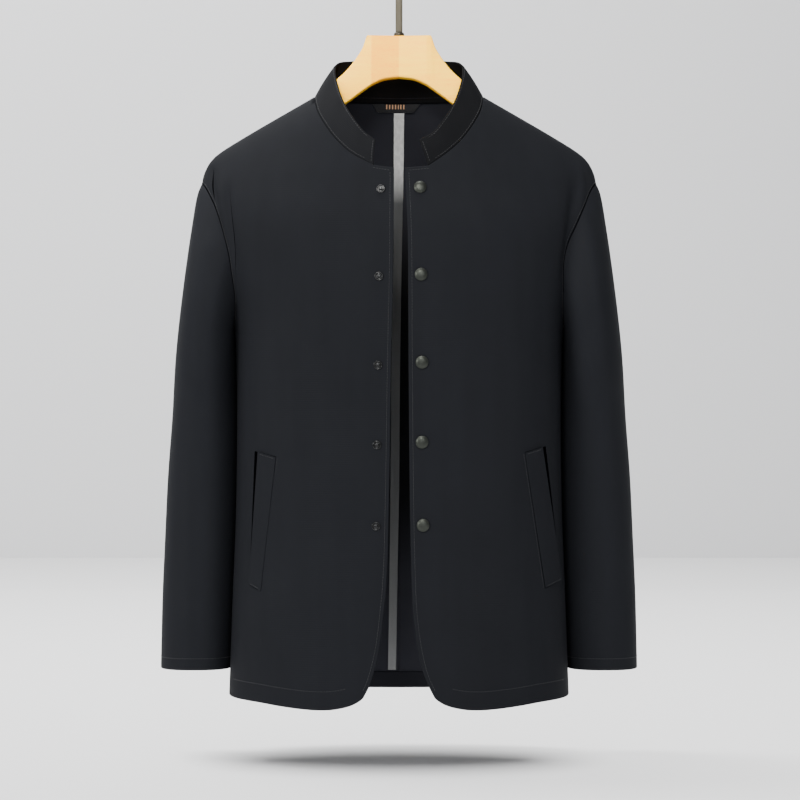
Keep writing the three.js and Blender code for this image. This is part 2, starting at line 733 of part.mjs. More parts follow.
for (const { side, sign } of SIDES) {
  const rings = sleeveRings(side, sign);
  const count = rings[0].length;
  const core = (point) => {
    const tube = sleeveTube(Math.min(point.z + HOOK_TO_HEM, SLEEVE_CORE_TOP));
    return new THREE.Vector3(sign * tube.x, tube.y, point.z);
  };
  const wrapped = rings.map((ring) => [ring[count - 1], ...ring, ring[0]]);
  const normals = gridNormals(wrapped, core).map((row) => row.slice(1, count + 1));
  const cut = (from, to) => {
    const columns = Array.from({ length: to - from + 1 }, (_, k) => (from + k + count) % count);
    const grid = rings.map((ring) => columns.map((j) => ring[j].clone()));
    const facing = normals.map((row) => columns.map((j) => row[j].clone()));
    for (const [edge, next] of [[0, 1], [columns.length - 1, columns.length - 2]]) {
      grid.forEach((row) => {
        const inward = row[next].clone().sub(row[edge]).normalize();
        row[edge].addScaledVector(inward, SEAM_GAP / 2);
      });
    }
    return { grid, facing };
  };
  const upper = cut(-BACK_SLEEVE_SEAM, FRONT_SLEEVE_SEAM);
  const under = cut(FRONT_SLEEVE_SEAM, count - BACK_SLEEVE_SEAM);
  add(`sleeve_upper_${side}`, wall(upper.grid, upper.facing, -CLOTH, 0), COLOURS.sleeve);
  add(`sleeve_under_${side}`, wall(under.grid, under.facing, -CLOTH, 0), COLOURS.sleeve);
}

// Collar: a band from the neckline up to its own top edge, front end to front end round the back
function collarGrid() {
  const half = (sign, side) => {
    const front = panels.front[side];
    const back = panels.back[side];
    const lastRow = front.grid.length - 1;
    const neck = [
      ...front.grid[lastRow].slice(EXTENSION_COLUMNS, front.neckColumns + 1),
      ...back.grid[lastRow].slice(0, back.neckColumns).reverse(),
    ].map((point) => point.clone());
    const topLine = [COLLAR_TOP_ENDS[side], ...COLLAR_TOP];
    const topPoints = topLine.map(({ x, y, h }) => new THREE.Vector3(sign * x, y, h - HOOK_TO_HEM));
    const frontTop = smoothLine(topPoints.slice(0, COLLAR_SIDE_AT + 1));
    const backTop = smoothLine(topPoints.slice(COLLAR_SIDE_AT));
    const top = [
      ...evenly(NECK_COLUMNS).map((t) => frontTop.getPointAt(t)),
      ...BACK_COLLAR_COLUMNS.slice(1).map((t) => backTop.getPointAt(t)),
    ];
    return { neck, top };
  };
  const left = half(1, 'left');
  const right = half(-1, 'right');
  const neck = [...left.neck, ...right.neck.slice(0, -1).reverse()];
  const top = [...left.top, ...right.top.slice(0, -1).reverse()];
  return evenly(COLLAR_ROWS).map((t) =>
    neck.map((base, j) => {
      const rise = top[j].clone().sub(base).normalize();
      const outward = new THREE.Vector3(base.x, base.y + NECK_CENTRE_FORWARD, 0).normalize();
      const start = base.clone().addScaledVector(rise, COLLAR_GAP).addScaledVector(outward, -COLLAR_GAP);
      return start.lerp(top[j], t).addScaledVector(outward, COLLAR_BULGE * Math.sin(Math.PI * t));
    }),
  );
}
const collar = collarGrid();
const collarCore = (point) => new THREE.Vector3(0, -20, point.z);
add('collar', wall(collar, gridNormals(collar, collarCore), -COLLAR_THICKNESS, 0), COLOURS.collar);

const between = (a, b, t) => ({ x: mix(a.x, b.x, t), h: mix(a.h, b.h, t) });

/** A strip laid on one face of the body, between four corners given in (x, h). */
function laidOn(face, corners, rows, columns, from, to) {
  const grid = [];
  const normals = [];
  for (const t of evenly(rows)) {
    const inner = between(corners.bottomInner, corners.topInner, t);
    const outer = between(corners.bottomOuter, corners.topOuter, t);
    const spots = evenly(columns).map((s) => between(inner, outer, s));
    grid.push(spots.map(({ x, h }) => bodyAt(face, x, h)));
    normals.push(spots.map(({ x, h }) => bodyNormal(face, x, h)));
  }
  return wall(grid, normals, from, to);
}

const mirrored = (corners) =>
  Object.fromEntries(Object.entries(corners).map(([key, { x, h }]) => [key, { x: -x, h }]));

// Pocket welts
const weltFrom = WELT_GAP;
const weltTo = WELT_GAP + WELT_THICKNESS;
const welt = (corners) => laidOn('front', corners, WELT_ROWS, WELT_COLUMNS, weltFrom, weltTo);
add('pocket_welt_left', welt(CAP_SIDE_WELT), COLOURS.cloth);
add('pocket_welt_right', welt(mirrored(STUD_SIDE_WELT)), COLOURS.cloth);

// Inside the back: seam tape, hem turn-up and size label
const insideBack = -(CLOTH + INSIDE_GAP);

function tapeGeometry() {
  const left = smoothColumn(TAPE, 'h', 'left');
  const right = smoothColumn(TAPE, 'h', 'right');
  const heights = evenly(TAPE_ROWS).map((t) => mix(TAPE[0].h, TAPE[TAPE.length - 1].h, t));
  const spots = heights.map((h) => evenly(2).map((s) => ({ x: mix(left(h), right(h), s), h })));
  const grid = spots.map((row) => row.map(({ x, h }) => bodyAt('back', x, h)));
  const normals = spots.map((row) => row.map(({ x, h }) => bodyNormal('back', x, h)));
  return wall(grid, normals, insideBack - TAPE_THICKNESS, insideBack);
}
add('centre_back_tape', tapeGeometry(), COLOURS.tape, { rough: 0.4 });

function turnUpGeometry() {
  const half = panels.back;
  const columns = [
    ...half.right.grid[0].map((_, j) => ({ side: 'right', j })).reverse(),
    ...half.left.grid[0].map((_, j) => ({ side: 'left', j })).slice(1),
  ].slice(1, -1);
  const row = (lift) =>
    columns.map(({ side, j }) => {
      const foot = half[side].grid[0][j];
      const head = half[side].grid[2][j];
      return foot.clone().lerp(head, lift / (head.z - foot.z));
    });
  const facing = columns.map(({ side, j }) => half[side].normals[1][j]);
  const grid = [row(TURN_UP_FOOT), row(TURN_UP_HEIGHT / 2), row(TURN_UP_HEIGHT)];
  return wall(grid, grid.map(() => facing), insideBack - TURN_UP_THICKNESS, insideBack);
}
add('back_hem_turn_up', turnUpGeometry(), COLOURS.band);

const labelTo = insideBack - LABEL_GAP;
add(
  'size_label',
  laidOn('back', LABEL, 1, 5, labelTo - LABEL_THICKNESS, labelTo),
  COLOURS.label,
);

/** A turned body: its half outline, from the axis at the bottom to the axis at the top. */
function turned(outline, segments) {
  const positions = [];
  const faces = [];
  const rings = outline.map(([radius, height]) => {
    const start = positions.length / 3;
    const points = radius === 0 ? 1 : segments;
    for (let k = 0; k < points; k += 1) {
      const angle = (2 * Math.PI * k) / segments;
      positions.push(radius * Math.cos(angle), radius * Math.sin(angle), height);
    }
    return { start, single: radius === 0 };
  });
  for (let i = 0; i < rings.length - 1; i += 1) {
    const low = rings[i];
    const high = rings[i + 1];
    for (let k = 0; k < segments; k += 1) {
      const next = (k + 1) % segments;
      const a = low.start + (low.single ? 0 : k);
      const b = low.start + (low.single ? 0 : next);
      const c = high.start + (high.single ? 0 : next);
      const d = high.start + (high.single ? 0 : k);
      if (!low.single) faces.push(a, b, c);
      if (!high.single) faces.push(a, c, d);
    }
  }
  return closed(positions, faces);
}

/** A ring with a hole, from its half outline as a closed loop of [radius, height]. */
function turnedRing(loop, segments) {
  const positions = [];
  const faces = [];
  const count = loop.length;
  for (let k = 0; k < segments; k += 1) {
    const angle = (2 * Math.PI * k) / segments;
    loop.forEach(([radius, height]) => {
      positions.push(radius * Math.cos(angle), radius * Math.sin(angle), height);
    });
  }
  for (let k = 0; k < segments; k += 1) {
    const here = k * count;
    const next = ((k + 1) % segments) * count;
    for (let i = 0; i < count; i += 1) {
      const j = (i + 1) % count;
      faces.push(here + i, next + i, next + j, here + i, next + j, here + j);
    }
  }
  return closed(positions, faces);
}

/** Sets a body made along +Z on the front of the jacket, at a gap above the cloth. */
function seatOnFront(geometry, x, h, gap) {
  const normal = bodyNormal('front', x, h);
  const spot = bodyAt('front', x, h).addScaledVector(normal, gap);
  const turn = new THREE.Quaternion().setFromUnitVectors(new THREE.Vector3(0, 0, 1), normal);
  return geometry.applyMatrix4(new THREE.Matrix4().compose(spot, turn, new THREE.Vector3(1, 1, 1)));
}

// Snaps
const CAP_OUTLINE = [
  [0, 0],
  [CAP_RADIUS - 0.8, 0],
  [CAP_RADIUS, 0.7],
  [CAP_RADIUS - 0.5, 1.4],
  [CAP_RADIUS * 0.6, 2.5],
  [0, 2.9],
];
const STUD_OUTLINE = [
  [0, 0],
  [STUD_RADIUS, 0],
  [STUD_RADIUS, 0.8],
  [STUD_RADIUS - 1.2, 1.1],
  [1.9, 0.8],
  [1.9, 2.4],
  [1.2, 2.8],
  [0, 2.8],
];
SNAP_CAPS.forEach(({ x, h }, i) => {
  const cap = seatOnFront(turned(CAP_OUTLINE, 16), x, h, LAID_ON_GAP);
  add(`snap_cap_${i + 1}`, cap, COLOURS.snap, { metal: 0.8, rough: 0.4 });
});
SNAP_STUDS.forEach(({ x, h }, i) => {
  const stud = seatOnFront(turned(STUD_OUTLINE, 14), -x, h, LAID_ON_GAP);
  add(`snap_stud_${i + 1}`, stud, COLOURS.stud, { metal: 1, rough: 0.35 });
});

/** Body that joins rings of points one after another, with flat ends. */
function loft(rings) {
  const count = rings[0].length;
  const positions = rings.flat().flatMap((point) => point.toArray());
  const faces = [];
  for (let i = 0; i < rings.length - 1; i += 1) {
    for (let k = 0; k < count; k += 1) {
      const next = (k + 1) % count;
      const a = i * count + k;
      const b = i * count + next;
      faces.push(a, b, b + count, a, b + count, a + count);
    }
  }
  const end = (rings.length - 1) * count;
  for (let k = 1; k < count - 1; k += 1) {
    faces.push(0, k + 1, k, end, end + k, end + k + 1);
  }
  return closed(positions, faces);
}

// Hanger: sections across X, from one arm's end to the other's
function hangerSection({ top, bottom, thick, forward }, x) {
  const deep = thick / 2;
  const cut = Math.min(WOOD_CHAMFER, deep * 0.6, (top - bottom) * 0.3);
  const spots = [
    [-deep, bottom + cut],
    [-deep + cut, bottom],
    [deep - cut, bottom],
    [deep, bottom + cut],
    [deep, top - cut],
    [deep - cut, top],
    [-deep + cut, top],
    [-deep, top - cut],
  ];
  return spots.map(([y, h]) => new THREE.Vector3(x, y - forward, h - HOOK_TO_HEM));
}
const hangerRings = [
  ...HANGER.slice(1).reverse().map((row) => hangerSection(row, -row.x)),
  ...HANGER.map((row) => hangerSection(row, row.x)),
];
add('hanger_wood', loft(hangerRings), COLOURS.wood, { rough: 0.55 });

// Ferrule on the wood
const ferruleLow = WOOD_TOP_HEIGHT + SEAM_GAP - HOOK_TO_HEM;
const ferruleLoop = [
  [FERRULE.inner, ferruleLow],
  [FERRULE.outer, ferruleLow],
  [FERRULE.outer, ferruleLow + FERRULE.height * 0.6],
  [FERRULE.inner + 0.5, ferruleLow + FERRULE.height],
  [FERRULE.inner, ferruleLow + FERRULE.height],
];
add('hook_ferrule', turnedRing(ferruleLoop, 20), COLOURS.ferrule, { metal: 1, rough: 0.35 });

/** Centre line of the hook in the Y-Z plane, as points with the direction along the strip. */
function hookLine() {
  const arcCentre = -HOOK_ARC + STRIP_THICKNESS / 2;
  const bend = Math.acos(HOOK_FIRST_BEND / (HOOK_ARC + HOOK_FIRST_BEND));
  const bendStart = arcCentre - Math.sqrt((HOOK_ARC + HOOK_FIRST_BEND) ** 2 - HOOK_FIRST_BEND ** 2);
  const low = WOOD_TOP_HEIGHT + SEAM_GAP - HOOK_TO_HEM;
  const line = [
    { y: 0, z: low, turn: 0 },
    { y: 0, z: mix(low, bendStart, 0.5), turn: 0 },
  ];
  for (const t of evenly(5)) {
    const turn = bend * t;
    line.push({
      y: HOOK_FIRST_BEND * (1 - Math.cos(turn)),
      z: bendStart + HOOK_FIRST_BEND * Math.sin(turn),
      turn,
    });
  }
  const steps = 20;
  for (let k = 1; k <= steps; k += 1) {
    const turn = bend - (HOOK_SWEEP * DEG * k) / steps;
    line.push({
      y: HOOK_ARC * Math.cos(turn),
      z: arcCentre - HOOK_ARC * Math.sin(turn),
      turn,
    });
  }
  return line;
}
const hookRings = hookLine().map(({ y, z, turn }) => {
  const across = STRIP_WIDTH / 2;
  const thick = STRIP_THICKNESS / 2;
  const sideY = Math.cos(turn) * thick;
  const sideZ = -Math.sin(turn) * thick;
  return [
    new THREE.Vector3(-across, y - sideY, z - sideZ),
    new THREE.Vector3(across, y - sideY, z - sideZ),
    new THREE.Vector3(across, y + sideY, z + sideZ),
    new THREE.Vector3(-across, y + sideY, z + sideZ),
  ];
});
add('hanger_hook', loft(hookRings), COLOURS.steel, { metal: 1, rough: 0.4 });

export default parts;
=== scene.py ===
"""Looks of the mandarin jacket on its hanger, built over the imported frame.

Lengths of the jacket and the hanger are millimetres, and heights are above the level of the hem. Lengths
in the finishes and the studio are metres. The frame has +Z up, the front faces -Y and +X is the wearer's
left.
"""

from __future__ import annotations

import json
import logging
import math
from collections.abc import Callable, Sequence
from dataclasses import dataclass, field
from enum import Enum
from functools import partial

import bpy
import numpy as np
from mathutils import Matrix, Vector

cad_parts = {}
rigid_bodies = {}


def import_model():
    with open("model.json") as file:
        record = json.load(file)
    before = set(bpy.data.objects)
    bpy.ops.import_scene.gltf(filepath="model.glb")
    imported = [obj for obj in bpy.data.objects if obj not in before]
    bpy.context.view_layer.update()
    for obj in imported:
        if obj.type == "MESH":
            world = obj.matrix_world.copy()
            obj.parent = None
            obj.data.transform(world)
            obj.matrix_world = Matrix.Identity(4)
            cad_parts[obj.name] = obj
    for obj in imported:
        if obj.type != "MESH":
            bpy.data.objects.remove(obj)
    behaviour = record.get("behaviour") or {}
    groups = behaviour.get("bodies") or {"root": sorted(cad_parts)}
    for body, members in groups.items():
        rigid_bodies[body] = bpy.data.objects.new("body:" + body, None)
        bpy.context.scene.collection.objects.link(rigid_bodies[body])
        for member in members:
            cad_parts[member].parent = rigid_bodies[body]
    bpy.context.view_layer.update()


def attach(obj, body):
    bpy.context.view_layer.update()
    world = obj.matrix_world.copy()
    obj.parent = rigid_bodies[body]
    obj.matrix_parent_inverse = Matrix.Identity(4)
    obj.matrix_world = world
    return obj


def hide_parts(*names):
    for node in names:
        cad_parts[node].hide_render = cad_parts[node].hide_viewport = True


log = logging.getLogger("jacket")
Array = np.ndarray
Object = bpy.types.Object
Material = bpy.types.Material
Colour = tuple[float, float, float]
Spot = tuple[float, ...]
Table = tuple[Spot, ...]

MM = 0.001
TURN = 2 * math.pi
HOOK_TO_HEM = 888.6
BODY = "root"

# Cloth and the clear space between pieces
CLOTH = 1.4
SEAM_GAP = 0.3
LAID_ON_GAP = 0.35

# Lines of a panel's grid for each one that its tables give
FINER_ROWS = 5
FINER_COLUMNS = 5


class Face(Enum):
    """The side of the body a panel is on; the value is the sign of its Y."""

    FRONT = -1
    BACK = 1

    @property
    def word(self) -> str:
        """The face's name as the nodes use it."""
        return self.name.lower()


class Side(Enum):
    """The wearer's side; the value is the sign of its X."""

    LEFT = 1
    RIGHT = -1

    @property
    def word(self) -> str:
        """The side's name as the nodes use it."""
        return self.name.lower()


class Smooth:
    """A smooth curve through a table's points, without overshoot."""

    def __init__(self, xs: Sequence[float], ys: Sequence[float]) -> None:
        """Sets up the curve.

        Args:
            xs: Places of the points, rising.
            ys: Values at them.
        """
        self.xs = np.asarray(xs, float)
        self.ys = np.asarray(ys, float)
        steps = np.diff(self.ys) / np.diff(self.xs)
        self.slopes = np.concatenate([steps[:1], np.zeros(len(steps) - 1), steps[-1:]])
        for i in range(1, len(steps)):
            before, after = steps[i - 1], steps[i]
            if before * after > 0:
                self.slopes[i] = 2 * before * after / (before + after)

    def __call__(self, x: Array | float) -> Array:
        """The curve's values.

        Args:
            x: Places, held to the table's ends.

        Returns:
            The values there.
        """
        x = np.clip(np.asarray(x, float), self.xs[0], self.xs[-1])
        i = np.clip(np.searchsorted(self.xs, x, side="right") - 1, 0, len(self.xs) - 2)
        width = self.xs[i + 1] - self.xs[i]
        t = (x - self.xs[i]) / width
        rise = 3 * t**2 - 2 * t**3
        return (
            self.ys[i] * (1 - rise)
            + self.ys[i + 1] * rise
            + self.slopes[i] * width * (t**3 - 2 * t**2 + t)
            + self.slopes[i + 1] * width * (t**3 - t**2)
        )

    @classmethod
    def through(cls, table: Table) -> Smooth:
        """The curve through a table of two columns."""
        return cls(*np.array(table, float).T)


def run(points: Array, axis: int = 0) -> Array:
    """Distance from the start of each line of points, the lines running along an axis."""
    steps = np.linalg.norm(np.diff(points, axis=axis), axis=-1)
    return np.insert(np.cumsum(steps, axis=axis), 0, 0, axis=axis)


def spline(points: Sequence[Sequence[float]] | Array, fractions: Array) -> Array:
    """Points along a centripetal Catmull-Rom line.

    Args:
        points: The line's control points, in any number of dimensions.
        fractions: Fractions of its length.

    Returns:
        One point per fraction.
    """
    known = np.asarray(points, float)
    ends = np.vstack([2 * known[0] - known[1], known, 2 * known[-1] - known[-2]])
    u = np.linspace(0, 1, 41)[:, None]
    dense = [known[:1]]
    for p0, p1, p2, p3 in zip(ends, ends[1:], ends[2:], ends[3:], strict=False):
        pairs = ((p0, p1), (p1, p2), (p2, p3))
        d0, d1, d2 = (max(float(np.linalg.norm(b - a)), 1e-9) ** 0.5 for a, b in pairs)
        out = ((p1 - p0) / d0 - (p2 - p0) / (d0 + d1) + (p2 - p1) / d1) * d1
        into = ((p2 - p1) / d1 - (p3 - p1) / (d1 + d2) + (p3 - p2) / d2) * d1
        rise = 3 * u**2 - 2 * u**3
        piece = p1 * (1 - rise) + p2 * rise + out * (u**3 - 2 * u**2 + u) + into * (u**3 - u**2)
        dense.append(piece[1:])
    line = np.vstack(dense)
    along = run(line)
    wanted = np.asarray(fractions, float) * along[-1]
    return np.stack([np.interp(wanted, along, line[:, k]) for k in range(line.shape[1])], axis=1)


def refined(stops: Sequence[float], times: int) -> Array:
    """A list of fractions with more of them between its own.

    Args:
        stops: The fractions.
        times: How many steps each one becomes.

    Returns:
        The finer list, which holds all of the first.
    """
    index = np.linspace(0, len(stops) - 1, (len(stops) - 1) * times + 1)
    return np.interp(index, np.arange(len(stops)), np.asarray(stops, float))


def mix(a: Array | float, b: Array | float, t: Array | float) -> Array:
    """The value at t on the way from a to b."""
    return a + (b - a) * t


def unit(vectors: Array) -> Array:
    """The vectors at length 1."""
    return vectors / np.maximum(np.linalg.norm(vectors, axis=-1, keepdims=True), 1e-12)

@dataclass
class Torso:
    """The outer surface of the jacket's body.

    Attributes:
        sections: Height, half width, depth in front, depth behind and squareness of each section.
        ridge_line: The shoulder ridge, as (x, height).
    """

    sections: Table = (
        (-12, 203.8, 119, 114, 2.7),
        (120, 199, 117, 111, 2.72),
        (240, 194.6, 115.5, 107.5, 2.75),
        (330, 193.6, 114.5, 106, 2.78),
        (415, 195, 114.5, 106.5, 2.8),
        (460, 199, 114, 106.5, 2.8),
        (510, 212, 111, 105, 2.8),
        (560, 226, 105, 101, 2.8),
        (617, 240, 90, 92, 2.75),
        (660, 242, 82, 78, 2.7),
        (700, 242, 78, 61, 2.6),
        (718, 242, 76, 51.8, 2.5),
        (740, 242, 76, 46, 2.5),
    )
    ridge_line: Table = (
        (0, 780.3),
        (101.7, 720.6),
        (205, 660),
        (214, 654),
        (221, 648.4),
        (227.4, 641),
        (231.6, 633.5),
        (234.6, 625.5),
        (236.2, 617.5),
        (237.2, 600),
    )
    shoulder_roll: float = 170.0
    underarm: float = 440.0

    def __post_init__(self) -> None:
        """Makes smooth curves of the tables."""
        h, half, front, back, square = np.array(self.sections, float).T
        self.half = Smooth(h, half)
        self.square = Smooth(h, square)
        self.depth = {Face.FRONT: Smooth(h, front), Face.BACK: Smooth(h, back)}
        self.ridge = Smooth.through(self.ridge_line)

    def roll(self, x: Array, h: Array) -> Array:
        """How far the shoulder has rounded over: 0 on the ridge, 1 on the straight front or back."""
        below = np.clip(self.ridge(np.abs(x)) - h, 0, self.shoulder_roll)
        return np.sqrt(1 - (1 - below / self.shoulder_roll) ** 2)

    def flat_depth(self, face: Face, x: Array, h: Array) -> Array:
        """Distance from the side-seam plane, before the shoulder rounds over."""
        n = self.square(h)
        across = np.minimum(np.abs(x) / self.half(h), 1)
        return self.depth[face](h) * (1 - across**n) ** (1 / n)

    def reach(self, face: Face, angle: Array, h: Array) -> Array:
        """Distance of the surface from the middle line at an angle from straight ahead."""
        n = self.square(h)
        wide = np.sin(angle) / self.half(h)
        deep = np.maximum(np.cos(angle), 0) / self.depth[face](h)
        return (wide**n + deep**n) ** (-1 / n)

    def point(self, face: Face, angle: Array, h: Array) -> Array:
        """Points of the surface on the +X side, from their angle and height."""
        r = self.reach(face, angle, h)
        x = r * np.sin(angle)
        y = face.value * r * np.maximum(np.cos(angle), 0) * self.roll(x, h)
        return np.stack([x, y, np.broadcast_to(h, np.shape(x)) - HOOK_TO_HEM], axis=-1)

    def at(self, face: Face, x: Array, h: Array) -> Array:
        """Points of the surface where they are seen at (x, h), x of either sign."""
        x, h = np.broadcast_arrays(np.asarray(x, float), np.asarray(h, float))
        y = face.value * self.flat_depth(face, x, h) * self.roll(x, h)
        return np.stack([x, y, h - HOOK_TO_HEM], axis=-1)

    def normal(self, face: Face, x: Array, h: Array) -> Array:
        """The way the surface looks at (x, h)."""
        x, h = np.broadcast_arrays(np.asarray(x, float), np.asarray(h, float))
        step = 2.0
        along = self.at(face, x + step, h) - self.at(face, x - step, h)
        up = self.at(face, x, h + step) - self.at(face, x, h - step)
        normal = unit(np.cross(along, up))
        return np.where(normal[..., 1:2] * face.value < 0, -normal, normal)

    def angle(self, face: Face, x: Array, h: Array) -> Array:
        """The angle of the surface at (x, h)."""
        return np.arctan2(x, self.flat_depth(face, x, h))

    def patch(self, face: Face, corners: Table, rows: int, columns: int) -> Grid:
        """A strip laid on the body between four corners.

        Args:
            face: Front or back.
            corners: Top inner, top outer, bottom inner, bottom outer, as (x, height).
            rows: Steps up.
            columns: Steps across.

        Returns:
            Its surface, on the body's own.
        """
        top_in, top_out, bottom_in, bottom_out = (np.array(corner, float) for corner in corners)
        t = np.linspace(0, 1, rows + 1)[:, None, None]
        s = np.linspace(0, 1, columns + 1)[None, :, None]
        spots = mix(mix(bottom_in, top_in, t), mix(bottom_out, top_out, t), s)
        x, h = spots[..., 0], spots[..., 1]
        across = s[..., 0] * np.linalg.norm(top_out - top_in)
        up = t[..., 0] * np.linalg.norm(top_in - bottom_in)
        flat = np.stack(np.broadcast_arrays(across, up), axis=2)
        return Grid(self.at(face, x, h), self.normal(face, x, h), flat)


@dataclass
class Grid:
    """A surface in rows and columns of points, in millimetres."""

    points: Array
    normals: Array
    cloth: Array

    def packed(self) -> Array:
        """Points, normals and cloth places in one array."""
        return np.concatenate([self.points, self.normals, self.cloth], axis=2)

    @classmethod
    def unpacked(cls, packed: Array) -> Grid:
        """The grid that packed() gave."""
        return cls(packed[..., :3], unit(packed[..., 3:6]), packed[..., 6:8])

    def area(self) -> float:
        """Area of the surface in square metres, two triangles to a mesh of the grid."""
        p = self.points
        first = np.cross(p[1:, :-1] - p[:-1, :-1], p[:-1, 1:] - p[:-1, :-1])
        second = np.cross(p[1:, :-1] - p[1:, 1:], p[:-1, 1:] - p[1:, 1:])
        doubled = np.linalg.norm(first, axis=2).sum() + np.linalg.norm(second, axis=2).sum()
        return float(doubled) / 2 * MM * MM

    def spans(self) -> tuple[float, float]:
        """Longest row and longest column, in metres."""
        across = run(self.points, 1)[:, -1].max()
        along = run(self.points)[-1].max()
        return float(across) * MM, float(along) * MM

    def edged(self, distances: Sequence[float] = (0.35, 0.9, 1.8)) -> Grid:
        """The grid with more lines close to its four borders.

        Args:
            distances: How far from the border each new line lies.

        Returns:
            The finer grid.
        """
        packed = self.packed()
        for _ in range(2):
            packed = np.concatenate([packed[:1], lines_near(packed[0], packed[1], distances), packed[1:]])
            packed = packed[::-1]
            packed = np.concatenate([packed[:1], lines_near(packed[0], packed[1], distances), packed[1:]])
            packed = packed[::-1].transpose(1, 0, 2)
        return Grid.unpacked(packed)

    def to_border(self, axes: Sequence[int] = (0, 1)) -> Array:
        """Distance of each point from the nearest border that its rows (0) or columns (1) end at."""
        nearest = np.full(self.points.shape[:2], np.inf)
        for axis in axes:
            along = run(self.points, axis)
            total = along.take([-1], axis=axis)
            nearest = np.minimum(nearest, np.minimum(along, total - along))
        return nearest


@dataclass(frozen=True)
class Fold:
    """A soft crease or ridge in a panel.

    Attributes:
        line: Its middle, as (x, height) from top to bottom.
    """

    line: tuple[tuple[float, float], ...]
    depth: float
    width: float
    fade: float = 0.25

    def offset(self, spots: Array) -> Array:
        """How far the cloth is moved at (x, height) spots."""
        path = spline(self.line, np.linspace(0, 1, 60))
        gaps = np.linalg.norm(spots[..., None, :] - path, axis=-1)
        nearest = gaps.argmin(axis=-1)
        t = nearest / (len(path) - 1)
        ends = np.clip(np.minimum(t, 1 - t) / self.fade, 0, 1)
        strength = ends**2 * (3 - 2 * ends)
        return self.depth * strength * np.exp(-((gaps.min(axis=-1) / self.width) ** 2) * math.log(2))


# Soft folds of each panel, x with its sign
FOLDS = {
    (Face.FRONT, Side.RIGHT): (
        Fold(((-210, 640), (-209, 600), (-202, 550), (-196, 505), (-193, 470)), 2.0, 4.5),
        Fold(((-201, 625), (-199, 590), (-194, 545), (-190, 505)), -1.8, 3.2),
        Fold(((-224, 640), (-221, 612), (-212, 580)), -2.0, 3.2),
        Fold(((-150, 640), (-158, 560), (-172, 480)), -0.7, 9, 0.4),
        Fold(((-120, 330), (-140, 200), (-152, 60)), 0.9, 17, 0.4),
    ),
    (Face.FRONT, Side.LEFT): (
        Fold(((212, 648), (219, 620), (217, 592), (211, 565), (205, 540)), 2.2, 4.5),
        Fold(((205, 628), (206.5, 605), (204, 572), (199.5, 534), (195, 480)), -4.6, 5.5, 0.3),
        Fold(((118, 690), (150, 655), (176, 612)), -0.5, 8, 0.4),
        Fold(((120, 320), (136, 190), (150, 50)), 0.8, 16, 0.4),
    ),
    (Face.BACK, Side.RIGHT): (
        Fold(((-205, 640), (-206, 590), (-198, 540), (-190, 480)), 1.4, 5.5),
        Fold(((-196, 625), (-196, 580), (-189, 530), (-182, 480)), -1.5, 5.0),
        Fold(((-60, 600), (-78, 480), (-84, 360)), -0.8, 14, 0.4),
        Fold(((-110, 330), (-122, 200), (-128, 60)), 1.0, 16, 0.4),
    ),
    (Face.BACK, Side.LEFT): (
        Fold(((207, 642), (208, 596), (201, 545), (194, 500)), 1.5, 5.0),
        Fold(((197, 622), (197, 575), (190, 520), (183, 470)), -1.3, 5.5),
        Fold(((66, 590), (84, 470), (92, 350)), -0.7, 13, 0.4),
        Fold(((104, 340), (118, 190), (124, 50)), 0.9, 17, 0.4),
    ),
}


def lines_near(border: Array, next_line: Array, distances: Sequence[float]) -> Array:
    """Lines between a border and the line after it.

    Args:
        border: Packed values along the border.
        next_line: Packed values along the line after it.
        distances: How far from the border each new line lies.

    Returns:
        The new lines, nearest first.
    """
    gap = np.maximum(np.linalg.norm(next_line[:, :3] - border[:, :3], axis=1), 1e-6)
    count = len(distances)
    return np.stack(
        [
            border + (next_line - border) * np.minimum(distance / gap, (k + 1) / (count + 1))[:, None]
            for k, distance in enumerate(distances)
        ]
    )


def facing(points: Array, core: Callable[[Array], Array]) -> Array:
    """Normals of a grid of points, on the side away from its core.

    Args:
        points: Rows by columns by 3.
        core: Gives a point inside the body for each point.

    Returns:
        Unit normals.
    """
    padded = np.pad(points, ((1, 1), (1, 1), (0, 0)), mode="edge")
    across = padded[1:-1, 2:] - padded[1:-1, :-2]
    up = padded[2:, 1:-1] - padded[:-2, 1:-1]
    normals = unit(np.cross(across, up))
    outward = np.sign(np.sum(normals * (points - core(points)), axis=2)).sum()
    return -normals if outward < 0 else normals


